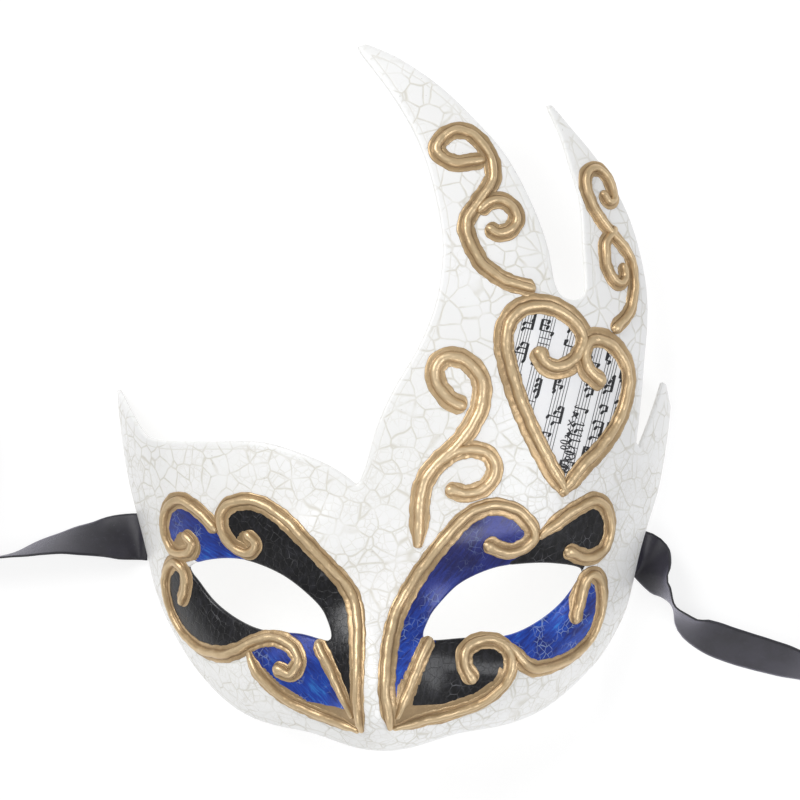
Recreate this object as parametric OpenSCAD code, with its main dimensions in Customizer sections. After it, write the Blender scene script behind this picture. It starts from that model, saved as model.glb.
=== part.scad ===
// Venetian half mask lying on its back, face up. Millimetres.
// X runs across the face, Y towards the tips of the horns, Z up out of the face.
// The origin is on the table, under the middle of the mask.

/* [Shell] */
// Height of the forehead above the table
brow_h = 54; // [50:1:60]
// Thickness of the moulded shell
wall_t = 1.6; // [1.2:0.1:2.2]
// Rise of the nose, as a part of the height it stands on
nose_rise = 0.33; // [0.2:0.01:0.4]
// Depth of each eye socket at its middle
socket_d = 9; // [4:1:11]
// Height of the arch that frees the nose and the upper lip
arch_h = 42; // [35:1:46]

/* [Gold relief] */
// Width of a gold line at its foot
bead_w = 6; // [5:0.1:6.5]
// Width of the gold line round the heart
heart_w = 7; // [6:0.1:8]
// Width of the lines on the outer horn, whose curls are tighter, and of the two inner corner lines
side_w = 5.4; // [5:0.1:6]
// Width of the pale line on the brow
brow_w = 6.8; // [5:0.1:7]
// Height of the ridge along a gold line
bead_h = 1.9; // [1.2:0.1:2.4]

/* [Lacquer and paper] */
// Thickness of the lacquer round the eyes
lacquer_t = 0.4; // [0.3:0.1:0.6]
// Thickness of the paper inside the heart
paper_t = 0.3; // [0.2:0.1:0.5]

/* [Ties] */
// Width of each ribbon
ribbon_w = 15; // [10:1:18]
// Thickness of each ribbon
ribbon_t = 0.6; // [0.4:0.1:0.8]
// Radius of the outer turn of a wound ribbon
coil_r = 40; // [38:1:44]
// Radius of the inner turn of a wound ribbon
coil_in_r = 30; // [28:1:32]

/* [Hidden] */

// Middle of the forehead, the pole that the shell's rings and spokes leave from
face_y = -25;
// Foot line of the shell on the table: its radius about the pole, from straight
// down through the temple to straight up, one value every 15 degrees
foot_step = 15;
foot_r = [90.4, 92.2, 92.5, 89, 86, 83.6, 85.7, 92, 103, 119, 145, 170, 181];
// Rings and spokes of the shell's net
rings = 22;
spokes = 96;
// The flat drawing on the table is thrown onto the shell from this point
draw_eye = [85, 0, 1100];
// Thickness of relief, lacquer and paper that is sunk into the shell
sink = 0.3;
// Mean distance between the sections of a relief line
bead_step = 2.3;
// Half width of the arch under the nose
arch_w = 68;
// Y of the left and the right ribbon, and the gap under each temple that lets it out
tie_y = [-45, -50];
tie_gap = 5;
tie_gap_r = 42.5;
// A ribbon is glued to the temple between these shares of the way out to the foot line
glue_from = 0.8;
glue_to = 0.985;

gold = "#b08f5a";
black = "#1b1c1f";
blue = "#2535a0";

// ---- flat drawing, in millimetres on the table ----

rim_left = [[-90.3, 6], [-88.4, 2], [-82, -10.5], [-76, -14], [-60, -14.5], [-44, -14.5],
            [-32, -17.5], [-20, -22.5], [-12, -28]];
horn_inner = [[-11, -27.5], [-8.5, -21], [-5, -9], [0, 2], [8.5, 16.5], [14, 31], [16, 47],
              [14.5, 60], [11, 74], [6, 86], [-1, 97.5], [-8, 107], [-11, 111.5]];
horn_outer = [[-9, 112.5], [2, 107.5], [15, 99.5], [26, 89], [36, 77.5], [44, 63],
              [49.5, 48.5], [52, 36], [54.5, 32], [58, 31], [61.5, 33.5], [61, 48],
              [60, 62], [56.5, 74], [53.5, 83.5], [50, 91.5]];
side_horn_outer = [[51.5, 92], [57, 86], [66, 75], [73.5, 62], [78, 50], [81, 36],
                   [81.5, 24], [80.5, 11], [79.5, -1.5], [78, -14.5]];
temple_horn = [[79, -16], [82, -8.5], [84.5, -1.5], [86.5, 5]];
rim_outside = [[87.5, 3.5], [89, -4], [105, -30], [105, -125], [0, -140], [-105, -125],
               [-105, 0]];

eye_left = [[-66, -55], [-59, -52.5], [-48.5, -52.5], [-36.5, -57], [-27, -64], [-22, -70],
            [-20.5, -78], [-30, -76], [-41.5, -75], [-49.5, -72], [-57.5, -66.5], [-63, -60]];
eye_right = [[59, -59.5], [54.5, -65.5], [48.5, -70.5], [41.5, -74.5], [34.5, -76.5],
             [23.5, -77], [10.5, -77.5], [11.5, -71], [15.5, -65.5], [22, -59.5], [32, -55],
             [41.5, -53.5], [51.5, -53.3], [60.5, -55]];

horn_scroll_path = [[28, 75.5], [21, 74.5], [16.5, 76], [14, 79], [15.5, 82.5], [20, 85],
    [25, 84], [29, 80], [31.5, 75], [32, 70], [30, 66], [26.5, 61], [23.5, 56], [24, 51],
    [28, 43], [32, 39.5], [37, 36.5], [44, 34.5]];
horn_curl_path = [[28, 60], [31.5, 62.5], [35.5, 62.3], [38.5, 60], [39.5, 56.5], [37.5, 53.3],
    [34, 52], [31, 53.5]];
side_scroll_path = [[67.2, 64], [68.6, 62], [70.2, 63], [69.5, 66.5], [67.9, 70.2], [65, 72.6],
    [62.3, 71.6], [61.3, 69], [62, 65], [64, 60], [67.5, 54.6], [72.5, 48.7], [75.6, 43.8],
    [76.7, 37.5], [76.3, 31], [75, 26.5], [71.5, 22.5]];
side_curl_path = [[70.2, 52.6], [67.6, 48.8], [68, 42], [70, 37.5], [72.3, 36], [73.8, 38],
    [73.5, 41]];
brow_scroll_path = [[22, -3], [18, -1], [14.5, 3.5], [13.3, 8], [15.2, 11.6], [19, 12.8],
    [23.8, 11.1], [27.5, 6.8], [28.5, 2], [27.6, -4], [24.8, -9.5], [21, -15], [15.3, -20.2],
    [11, -25.4], [8.9, -31.2], [8.4, -39], [7.9, -48.3]];
brow_curl_path = [[15.5, -20.5], [20, -17.8], [25, -16.8], [29.7, -18], [32.3, -21.3],
    [31.9, -25.8], [28.7, -29.4], [23.5, -31], [19, -30]];
heart_left_path = [[55, -31.5], [53, -27.5], [50, -22.5], [45.3, -13.5], [40.7, -3], [37, 8.5],
    [35.3, 18.5], [37.3, 25], [41.5, 28.7], [47, 29.6], [53, 28], [57.8, 24.5], [60.5, 20.5],
    [61, 17], [59, 12.5], [55.5, 9.5], [51.5, 8.7], [48, 10.5], [46.5, 13.5]];
heart_right_path = [[53.6, -31.2], [56.5, -27.8], [60.6, -22.6], [66.4, -16.4], [71, -9.8],
    [74.1, -2], [75.2, 6], [73.8, 11.8], [70.3, 16.5], [66.3, 18.8], [63, 18.4], [61, 16],
    [60.5, 12], [62, 8], [65.5, 5]];

brow_out_l_path = [[-57.5, -42], [-62.4, -36.9], [-67.7, -33.5], [-71.8, -34.5], [-73.7, -39.5],
    [-73, -45.5], [-70.4, -49.8], [-66.2, -50.2], [-64.5, -47.2], [-66.6, -44.8]];
brow_in_l_path = [[-46.8, -44.6], [-44.5, -47.1], [-46.2, -49.7], [-50.3, -48.4], [-54, -44.4],
    [-55.3, -39.3], [-53.1, -35.2], [-47.8, -33.6], [-41.9, -34.9], [-35.4, -39.2], [-29, -45.6],
    [-22.5, -52.5], [-16.1, -59.4], [-12.6, -66.2], [-11.6, -76], [-11.6, -88], [-11.5, -100],
    [-10.4, -107]];
corner_l_path = [[-23.8, -79.5], [-18.7, -90], [-12.8, -103]];
cheek_out_l_path = [[-67.9, -65.5], [-66.6, -60], [-67.7, -55.4], [-70.5, -53.3], [-72.8, -55.9],
    [-73.2, -61], [-71.3, -68.8], [-67.4, -75.9], [-61.9, -81], [-55.5, -82.8], [-50, -81.6],
    [-45.2, -79], [-40, -77.6], [-35, -78.5], [-31.4, -81.5], [-30.4, -85.5], [-33, -89],
    [-36.4, -87.7]];
cheek_in_l_path = [[-46.5, -82], [-45, -86], [-41.5, -91], [-35, -96.5], [-27, -100.5],
    [-18, -104], [-10.8, -107]];
brow_in_r_path = [[-0.4, -106.2], [-2.1, -95], [-1.5, -83], [0.6, -72], [4.6, -63.1],
    [10.4, -53.9], [17.3, -45.3], [23.8, -38.5], [31.5, -35.2], [38.8, -36.6], [43.5, -40.8],
    [44.5, -44.6], [41.2, -48], [36.3, -49.3], [31.3, -47.4]];
brow_out_r_path = [[46.5, -45], [51.5, -40.7], [58.3, -35.9], [64.5, -33], [68.3, -36.3],
    [69.1, -42.6], [66.9, -48.7], [62.3, -51.3], [56.9, -49.6]];
corner_r_path = [[11.2, -78.3], [6.1, -90], [0.9, -103]];
cheek_out_r_path = [[58.1, -71], [59.5, -64.5], [61.3, -58.6], [64, -56.6], [66.4, -59.7],
    [66.3, -67.8], [63.4, -76], [58.1, -81.9], [51.8, -85.4], [45.5, -86.8], [41.5, -84.9],
    [38.5, -81.3], [34.5, -78.3]];
cheek_in_r_path = [[24.8, -89.5], [22.8, -85.5], [23.3, -81], [27, -78.3], [32, -78],
    [36.3, -80.5], [37.8, -85.5], [35, -92], [29, -97], [21, -100.3], [11, -102.9], [-0.2, -106]];

// A lacquer field lies between a line along the relief and a line along the eye hole,
// and the second line lies to the left of the first one's run
field_blue_top_l = [[[-60, -38.5], [-67, -34], [-72, -39], [-71, -48], [-66, -50.5], [-60, -51]],
                    [[-57, -41], [-53.5, -45.5], [-50.5, -48.7], [-49, -51], [-53, -51.5], [-58, -51.7]]];
field_black_top_l = [[[-48.5, -51.3], [-36.5, -56], [-26.5, -63.2], [-21, -70], [-21, -80],
                      [-14, -100]],
                     [[-47, -33], [-35, -39], [-22, -52.5], [-13, -64], [-11.5, -84], [-12, -102]]];
field_black_low_l = [[[-66, -57], [-72.5, -60], [-70, -71], [-63, -80], [-54, -82], [-44, -77.5]],
                     [[-65, -56], [-63.5, -61], [-58, -67.3], [-50, -72.8], [-43, -75.6],
                      [-41, -76]]];
field_blue_low_l = [[[-45, -83], [-40, -92], [-30, -99], [-20, -103], [-14, -103.5]],
                    [[-40, -77.5], [-32, -78], [-25.5, -80], [-20, -88], [-15, -99]]];
field_blue_top_r = [[[31, -35.5], [18, -44.5], [5, -62], [-1, -76], [-2, -90], [-0.5, -102]],
                    [[41, -52.5], [31.5, -54], [21, -58.7], [14, -65.5], [9.3, -77], [2, -99]]];
field_black_top_r = [[[43, -52.3], [48, -52.3], [52, -52.3], [56, -52.7], [59, -53], [61, -52.5]],
                     [[46.5, -46], [53, -40], [63, -33.5], [69, -40], [67, -48], [62, -51]]];
field_blue_low_r = [[[60.5, -57], [58, -62.5], [54, -67], [48, -71.7], [42, -75], [36.5, -77]],
                    [[62.5, -57], [66.5, -64], [63, -76], [54, -84.5], [46, -86.5], [40, -82]]];
field_black_low_r = [[[33, -77.5], [26, -78], [20, -78.5], [12, -79], [7.5, -87], [3, -98]],
                     [[34, -79], [37, -85], [30, -96], [18, -101], [8, -102.5], [2, -103]]];
// The paper lies between the left and the right side of the heart
paper_edges = [[[53.5, 27.5], [46, 29.5], [40, 27.5], [36, 21], [37, 9], [41, -3], [47, -17],
                [54, -29]],
               [[59, 23], [61.5, 17.5], [67, 18.5], [72, 14], [75, 6], [73, -4], [66, -15],
                [55, -28.5]]];

// Route of each ribbon on the table: x, y, height of its middle, and roll,
// which is 0 where it lies flat and 90 where it stands on its edge
tie_l_route = [[-78.9, -45, 5.5, 0], [-80.6, -45, 2.6, 2], [-84, -45, 1.8, 8],
               [-89, -45.2, 3.2, 22], [-94, -45.5, 5.2, 42], [-100, -46, 6.2, 54],
               [-106, -46.8, 6.9, 64], [-112, -48, 7.2, 72], [-118, -49.6, 7.5, 81],
               [-125, -51.3, 7.5, 90], [-132, -52, 7.5, 90], [-141, -52, 7.5, 90],
               [-151, -52, 7.5, 90], [-161, -52, 7.5, 90], [-170, -52, 7.5, 90]];
tie_r_route = [[77.6, -49.6, 5.5, 0], [79.8, -50.3, 2.8, 0], [82, -52, 2.6, 12],
               [84, -55.5, 4.6, 36], [85.8, -59.5, 6.7, 60], [87.6, -63, 7.4, 78],
               [89.6, -66.5, 7.5, 86], [92.3, -70, 7.3, 70], [96, -73.5, 6.1, 52],
               [103, -77, 5.1, 41], [110, -79.5, 4.9, 39], [118, -81.8, 5.1, 41],
               [126, -84, 5.6, 47], [134, -86.3, 6.3, 56], [143, -88.9, 7.1, 70],
               [153, -91.2, 7.5, 86], [164, -92.8, 7.5, 90], [175, -93, 7.5, 90]];
coil_l_at = [-170, -12];
coil_r_at = [175, -53];

// ---- curves ----

// Smooth curve between b and c, with a and d as their neighbours
function between(a, b, c, d, t) =
    0.5 * (2 * b + t * (c - a) + t * t * (2 * a - 5 * b + 4 * c - d)
           + t * t * t * (3 * b - a - 3 * c + d));

function at(p, i) = p[max(0, min(len(p) - 1, i))];

// Smooth curve through all points, cut into pieces about step long
function flow(p, step) =
    [for (i = [0 : len(p) - 2])
        let (n = max(1, round(norm(p[i + 1] - p[i]) / step)))
            for (k = [0 : n - 1])
                between(at(p, i - 1), p[i], p[i + 1], at(p, i + 2), k / n),
     p[len(p) - 1]];

// Point at a share s, 0 to 1, of the way along a smooth curve
function along(p, s) =
    let (f = s * (len(p) - 1), i = min(len(p) - 2, floor(f)))
        between(at(p, i - 1), p[i], p[i + 1], at(p, i + 2), f - i);

// Smooth closed loop
function loop(p, step) =
    [for (i = [0 : len(p) - 1])
        let (n = len(p), c = p[(i + 1) % n], m = max(1, round(norm(c - p[i]) / step)))
            for (k = [0 : m - 1])
                between(p[(i + n - 1) % n], p[i], c, p[(i + 2) % n], k / m)];

function unit(v) = v / norm(v);
function ease(t) = let (c = max(0, min(1, t))) c * c * (3 - 2 * c);

// ---- face ----

function foot_at(i) = foot_r[i < 0 ? -i : i > 12 ? 24 - i : i];

// Radius of the foot line in the direction of a point
function foot(x, y) =
    let (f = (atan2(y - face_y, abs(x)) + 90) / foot_step, i = min(11, floor(f)))
        between(foot_at(i - 1), foot_at(i), foot_at(i + 1), foot_at(i + 2), f - i);

// 0 at the temples and above, 1 straight down, where the face is boxier
function chin(x, y) =
    let (d = norm([x, y - face_y]), s = d < 0.01 ? 0 : (face_y - y) / d)
        pow(max(0, (s - 0.3) / 0.7), 2);

function dome(x, y) =
    let (c = chin(x, y), q = min(1, norm([x, y - face_y]) / foot(x, y)))
        brow_h * pow(1 - pow(q, 2.2 + 3.8 * c), 0.65 - 0.15 * c);

function nose(x, y) =
    nose_rise * ease((-y - 60) / 45) * exp(-pow(x / (8.5 + 0.13 * max(0, -y - 56)), 2));

function bridge(x, y) = 3 * exp(-pow((y + 58) / 11, 2) - pow(x / 14, 2));

function socket(x, y) =
    let (e = pow((abs(x) - 38) / 35, 2) + pow((y + 62.5) / 24, 2))
        socket_d * pow(max(0, 1 - e), 2);

// Height of the outside of the shell
function rise(x, y) =
    max(0, dome(x, y) * (1 + nose(x, y)) - bridge(x, y) - socket(x, y));

function skin_at(x, y) = [x, y, rise(x, y)];

function normal_at(x, y) =
    let (h = 0.4)
        unit([rise(x - h, y) - rise(x + h, y), rise(x, y - h) - rise(x, y + h), 2 * h]);

// Where the line from a drawing point to draw_eye meets the face
function thrown(p, z = 40, tries = 9) =
    let (s = z / draw_eye[2], x = p[0] + (draw_eye[0] - p[0]) * s,
         y = p[1] + (draw_eye[1] - p[1]) * s)
        tries == 0 ? [x, y] : thrown(p, rise(x, y), tries - 1);

// Point on the drawing's line at height z
function lifted(p, z) =
    let (s = z / draw_eye[2])
        [p[0] + (draw_eye[0] - p[0]) * s, p[1] + (draw_eye[1] - p[1]) * s, z];

// ---- solids ----

// Closed body between two equal rings of points in each of its sections
function tube_faces(n, m) =
    concat([[for (k = [0 : m - 1]) k]],
           [for (i = [0 : n - 2], k = [0 : m - 1], half = [0, 1])
               let (a = i * m + k, b = i * m + (k + 1) % m)
                   half == 0 ? [a, a + m, b] : [b, a + m, b + m]],
           [[for (k = [m - 1 : -1 : 0]) (n - 1) * m + k]]);

// Prism of a clockwise drawing outline, from z0 to z1, narrowing towards draw_eye
module thrown_prism(outline, z0, z1) {
    n = len(outline);
    polyhedron(concat([for (p = outline) lifted(p, z0)], [for (p = outline) lifted(p, z1)]),
               concat([[for (i = [n - 1 : -1 : 0]) i]], [[for (i = [0 : n - 1]) n + i]],
                      [for (i = [0 : n - 1]) [i, (i + 1) % n, n + (i + 1) % n, n + i]]));
}

// Thin body that follows the face over a net of drawing points
module film(net, thickness) {
    rows = len(net);
    cols = len(net[0]);
    size = rows * cols;
    spots = [for (row = net, p = row) let (q = thrown(p))
                [skin_at(q[0], q[1]), normal_at(q[0], q[1])]];
    function id(r, c) = r * cols + c;
    edge = concat([for (c = [0 : cols - 1]) id(0, c)], [for (r = [1 : rows - 1]) id(r, cols - 1)],
                  [for (c = [cols - 2 : -1 : 0]) id(rows - 1, c)],
                  [for (r = [rows - 2 : -1 : 1]) id(r, 0)]);
    polyhedron(
        concat([for (s = spots) s[0] + s[1] * thickness], [for (s = spots) s[0] - s[1] * sink]),
        concat([for (r = [0 : rows - 2], c = [0 : cols - 2], half = [0, 1])
                   half == 0 ? [id(r, c), id(r, c + 1), id(r + 1, c)]
                             : [id(r + 1, c), id(r, c + 1), id(r + 1, c + 1)]],
               [for (r = [0 : rows - 2], c = [0 : cols - 2], half = [0, 1])
                   half == 0 ? [size + id(r, c), size + id(r + 1, c), size + id(r, c + 1)]
                             : [size + id(r + 1, c), size + id(r + 1, c + 1), size + id(r, c + 1)]],
               [for (i = [0 : len(edge) - 1])
                   let (a = edge[i], b = edge[(i + 1) % len(edge)])
                       [b, a, size + a, size + b]]));
}

// Film between two drawing lines, cut into the given numbers of rows and columns
module field(lines, thickness, rows, cols) {
    film([for (r = [0 : rows])
             [for (c = [0 : cols])
                 let (a = along(lines[0], r / rows), b = along(lines[1], r / rows))
                     a + (b - a) * c / cols]],
         thickness);
}

// Gold line along a drawing path: a round ridge on a flat foot, tapered at both ends
module bead(path, width = bead_w) {
    line = [for (p = flow(path, bead_step)) thrown(p)];
    n = len(line);
    spots = [for (p = line) skin_at(p[0], p[1])];
    half = width / 2;
    profile = [[-half, -sink], [-half, 0.2], [-1.8, 0.4], [-1, 0.85 * bead_h], [0, bead_h],
               [1, 0.85 * bead_h], [1.8, 0.4], [half, 0.2], [half, -sink]];
    function ending(i) = let (d = min(i, n - 1 - i)) d == 0 ? 0.5 : d == 1 ? 0.85 : 1;
    points = [for (i = [0 : n - 1])
        let (up = normal_at(line[i][0], line[i][1]),
             run = unit(at(spots, i + 1) - at(spots, i - 1)),
             side = unit(cross(run, up)),
             grow = ending(i))
            for (q = profile)
                spots[i] + side * q[0] * grow + up * q[1] * (q[1] > 0 ? grow : 1)];
    polyhedron(points, tube_faces(n, len(profile)));
}

// Ribbon swept along a route, lying flat at roll 0 and on its edge at roll 90
module ribbon(route) {
    line = flow(route, 6);
    n = len(line);
    // Eight corners of the section, as shares of half the width and half the thickness
    profile = [[-0.97, -1], [0.97, -1], [1, -0.6], [1, 0.6], [0.97, 1], [-0.97, 1], [-1, 0.6],
               [-1, -0.6]];
    function spot(i) = let (p = at(line, i)) [p[0], p[1], p[2]];
    points = [for (i = [0 : n - 1])
        let (run = unit(spot(i + 1) - spot(i - 1)),
             flat = unit(cross([0, 0, 1], run)),
             up = cross(run, flat),
             roll = line[i][3],
             across = flat * cos(roll) + up * sin(roll),
             over = up * cos(roll) - flat * sin(roll))
            for (q = profile)
                let (p = spot(i) + across * (q[0] * ribbon_w / 2) + over * (q[1] * ribbon_t / 2))
                    [p[0], p[1], max(0, p[2])]];
    polyhedron(points, tube_faces(n, len(profile)));
}

// ---- shell ----

// Ring 0 is the pole, the last ring lies on the foot line
function net_point(i, j) =
    let (a = 360 * j / spokes, c = cos(a), s = sin(a), q = sin(90 * i / rings),
         r = q * foot(c, face_y + s), x = r * c, y = face_y + r * s)
        [x, y, i == rings ? 0 : rise(x, y)];

function net_normal(i, j) =
    i == 0 ? [0, 0, 1] :
    i == rings ? [cos(360 * j / spokes), sin(360 * j / spokes), 0] :
    unit(cross(net_point(i + 1, j) - net_point(i - 1, j),
               net_point(i, j + 1) - net_point(i, j - 1)));

// Index of a net point; the pole comes first, then ring after ring
function net_id(i, j) = i == 0 ? 0 : 1 + (i - 1) * spokes + j % spokes;

module blank() {
    outside = concat([net_point(0, 0)],
                     [for (i = [1 : rings], j = [0 : spokes - 1]) net_point(i, j)]);
    inside = concat([net_point(0, 0) - [0, 0, wall_t]],
                    [for (i = [1 : rings], j = [0 : spokes - 1])
                        let (p = net_point(i, j) - net_normal(i, j) * wall_t)
                            [p[0], p[1], max(0, p[2])]]);
    size = len(outside);
    cells = concat([for (j = [0 : spokes - 1]) [0, net_id(1, j + 1), net_id(1, j)]],
                   [for (i = [1 : rings - 1], j = [0 : spokes - 1], half = [0, 1])
                       half == 0 ? [net_id(i, j), net_id(i, j + 1), net_id(i + 1, j)]
                                 : [net_id(i + 1, j), net_id(i, j + 1), net_id(i + 1, j + 1)]]);
    polyhedron(
        concat(outside, inside),
        concat(cells, [for (f = cells) [size + f[0], size + f[2], size + f[1]]],
               [for (j = [0 : spokes - 1])
                   [net_id(rings, j), net_id(rings, j + 1), size + net_id(rings, j + 1),
                    size + net_id(rings, j)]]));
}

module outline_prism() {
    thrown_prism(concat(flow(rim_left, 4), flow(horn_inner, 4), flow(horn_outer, 4),
                        flow(side_horn_outer, 4), flow(temple_horn, 4), rim_outside), -1, 80);
}

// Free space under the nose, open towards the chin
module nose_arch() {
    translate([0, -60, 0])
        rotate([90, 0, 0])
            linear_extrude(60)
                polygon(concat([[arch_w, -1], [-arch_w, -1]],
                               [for (x = [-arch_w : 5 : arch_w])
                                   [x, arch_h * (1 - pow(x / arch_w, 2))]]));
}

// Low arch in a temple's rim; side is 0 left, 1 right
module tie_arch(side) {
    translate([side == 0 ? -100 : 0, tie_y[side], tie_gap - tie_gap_r])
        rotate([0, 90, 0])
            cylinder(h = 100, r = tie_gap_r, $fn = 120);
}

// A resize to zeros keeps every size: it joins the cut shell into one smooth mesh
module mask_shell() {
    color("#f4f4f2")
        resize([0, 0, 0])
            difference() {
                intersection() {
                    blank();
                    outline_prism();
                }
                thrown_prism(loop(eye_left, 3), -1, 80);
                thrown_prism(loop(eye_right, 3), -1, 80);
                nose_arch();
                tie_arch(0);
                tie_arch(1);
            }
}

module horn_scroll() { color(gold) bead(horn_scroll_path); }
module horn_curl() { color(gold) bead(horn_curl_path); }
module side_scroll() { color(gold) bead(side_scroll_path, side_w); }
module side_curl() { color(gold) bead(side_curl_path, side_w); }
module brow_scroll() { color(gold) bead(brow_scroll_path, brow_w); }
module brow_curl() { color(gold) bead(brow_curl_path); }
module heart_left() { color(gold) bead(heart_left_path, heart_w); }
module heart_right() { color(gold) bead(heart_right_path, heart_w); }
module brow_out_l() { color(gold) bead(brow_out_l_path); }
module brow_in_l() { color(gold) bead(brow_in_l_path); }
module corner_l() { color(gold) bead(corner_l_path, side_w); }
module cheek_out_l() { color(gold) bead(cheek_out_l_path); }
module cheek_in_l() { color(gold) bead(cheek_in_l_path); }
module brow_in_r() { color(gold) bead(brow_in_r_path); }
module brow_out_r() { color(gold) bead(brow_out_r_path); }
module corner_r() { color(gold) bead(corner_r_path, side_w); }
module cheek_out_r() { color(gold) bead(cheek_out_r_path); }
module cheek_in_r() { color(gold) bead(cheek_in_r_path); }

module blue_top_l() { color(blue) field(field_blue_top_l, lacquer_t, 12, 3); }
module black_top_l() { color(black) field(field_black_top_l, lacquer_t, 16, 4); }
module black_low_l() { color(black) field(field_black_low_l, lacquer_t, 12, 3); }
module blue_low_l() { color(blue) field(field_blue_low_l, lacquer_t, 12, 3); }
module blue_top_r() { color(blue) field(field_blue_top_r, lacquer_t, 16, 4); }
module black_top_r() { color(black) field(field_black_top_r, lacquer_t, 12, 3); }
module blue_low_r() { color(blue) field(field_blue_low_r, lacquer_t, 12, 3); }
module black_low_r() { color(black) field(field_black_low_r, lacquer_t, 12, 3); }
module paper() { color("white") field(paper_edges, paper_t, 16, 6); }

// Glued end of a ribbon on the inner wall of a temple; side is 0 left, 1 right
module glued_end(side) {
    rows = 6;
    reach = foot(foot_r[5], tie_y[side]);
    turn = asin((tie_y[side] - face_y) / reach);
    out = [cos(turn), sin(turn)];
    across = [-sin(turn), cos(turn)];
    points = [for (i = [0 : rows], k = [[0, -1], [1, -1], [1, 1], [0, 1]])
        let (q = glue_from + (glue_to - glue_from) * i / rows,
             p = [0, face_y] + out * q * reach + across * k[1] * ribbon_w / 2,
             depth = k[0] == 0 ? wall_t - 0.2 : wall_t + ribbon_t)
            skin_at(p[0], p[1]) - normal_at(p[0], p[1]) * depth];
    mirror([1 - side, 0, 0])
        polyhedron(points, tube_faces(rows + 1, 4));
}

module glued_end_l() { color("#24232b") glued_end(0); }
module glued_end_r() { color("#24232b") glued_end(1); }
module tie_l() { color("#24232b") ribbon(tie_l_route); }
module tie_r() { color("#24232b") ribbon(tie_r_route); }

module coil(place) {
    translate([place[0], place[1], 0])
        rotate_extrude($fn = 96)
            translate([coil_in_r, 0])
                square([coil_r - coil_in_r, ribbon_w]);
}

module wound_l() { color("#24232b") coil(coil_l_at); }
module wound_r() { color("#24232b") coil(coil_r_at); }

mask_shell();
horn_scroll();
horn_curl();
side_scroll();
side_curl();
brow_scroll();
brow_curl();
heart_left();
heart_right();
brow_out_l();
brow_in_l();
corner_l();
cheek_out_l();
cheek_in_l();
brow_in_r();
brow_out_r();
corner_r();
cheek_out_r();
cheek_in_r();
blue_top_l();
black_top_l();
black_low_l();
blue_low_l();
blue_top_r();
black_top_r();
blue_low_r();
black_low_r();
paper();
glued_end_l();
glued_end_r();
tie_l();
tie_r();
wound_l();
wound_r();
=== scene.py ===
"""Looks of the masquerade half mask: shell, gold relief, lacquer, sheet music and ribbons.

Lengths are in millimetres until a mesh is made. Drawing points are flat points on the table,
thrown onto the face from DRAW_EYE, just as in the part's source.
"""
import math

import bpy
import numpy as np
from mathutils import Matrix, Vector


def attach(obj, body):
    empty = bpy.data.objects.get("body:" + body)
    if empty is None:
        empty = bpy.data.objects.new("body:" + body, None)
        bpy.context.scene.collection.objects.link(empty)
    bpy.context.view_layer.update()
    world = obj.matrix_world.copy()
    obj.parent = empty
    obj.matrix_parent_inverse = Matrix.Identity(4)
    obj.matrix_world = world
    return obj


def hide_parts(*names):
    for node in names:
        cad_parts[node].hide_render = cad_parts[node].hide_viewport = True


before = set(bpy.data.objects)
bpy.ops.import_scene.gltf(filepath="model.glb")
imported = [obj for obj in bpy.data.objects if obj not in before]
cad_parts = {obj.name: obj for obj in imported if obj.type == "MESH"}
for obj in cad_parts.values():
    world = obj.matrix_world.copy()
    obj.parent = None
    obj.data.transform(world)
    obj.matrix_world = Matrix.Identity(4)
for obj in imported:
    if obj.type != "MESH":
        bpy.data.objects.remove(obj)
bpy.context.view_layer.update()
scene = bpy.context.scene

MM = 0.001
# Heights above the face
LACQUER_LIFT = 0.12
PAPER_LIFT = 0.15
WASH_LIFT = 0.2
INK_LIFT = 0.2

# ---- numbers repeated from the part's source ----

BROW_H = 54.0
WALL = 1.6
NOSE_RISE = 0.33
SOCKET_D = 9.0
ARCH_H = 42.0
ARCH_W = 68.0
FACE_Y = -25.0
FOOT_R = np.array([90.4, 92.2, 92.5, 89, 86, 83.6, 85.7, 92, 103, 119, 145, 170, 181])
DRAW_EYE = (85.0, 0.0, 1100.0)
BEAD_W = 6.0
SIDE_W = 5.4
BROW_W = 6.8
HEART_W = 7.0
BEAD_H = 1.9
RIBBON_W = 15.0
RIBBON_T = 0.6
TIE_Y = (-45.0, -50.0)
TIE_GAP_R = 42.5
TIE_GAP = 5.0
GLUE_FROM = 0.8
GLUE_TO = 0.985
# How deep a glued end reaches into the wall
SUNK = 0.15

# Edge of the shell; its pointed tips run on 2 to 4 mm past the source's, because the trimmed net
# loses the last of them
RIM_LEFT = [[-93, 9.5], [-89.6, 3], [-82, -10.5], [-76, -14], [-60, -14.5], [-44, -14.5],
    [-32, -17.5], [-20, -22.5], [-12, -28]]
HORN_INNER = [[-11, -27.5], [-8.5, -21], [-5, -9], [0, 2], [8.5, 16.5], [14, 31], [16, 47],
    [14.5, 60], [11, 74], [6, 86], [-1, 97.5], [-8.3, 107.1], [-12.7, 112.9]]
HORN_OUTER = [[-9.9, 113.7], [2, 108.4], [15, 99.5], [26, 89], [36, 77.5], [44, 63],
    [49.5, 48.5], [52, 36], [54.5, 32], [58, 31], [61.5, 33.5], [61, 48], [60, 62], [56.5, 74],
    [53.5, 83.5], [49.1, 93]]
SIDE_HORN_OUTER = [[50.8, 93.5], [57, 86], [66, 75], [73.5, 62], [78, 50], [81, 36], [81.5, 24],
    [80.5, 11], [79.5, -1.5], [78, -14.5]]
TEMPLE_HORN = [[79, -16], [82, -8.5], [84.5, -1.5], [86.5, 5]]
RIM_OUTSIDE = [[87.5, 3.5], [89, -4], [105, -30], [105, -125], [0, -140], [-105, -125], [-105, 0]]
EYE_LEFT = [[-66, -55], [-59, -52.5], [-48.5, -52.5], [-36.5, -57], [-27, -64], [-22, -70],
    [-20.5, -78], [-30, -76], [-41.5, -75], [-49.5, -72], [-57.5, -66.5], [-63, -60]]
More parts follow.
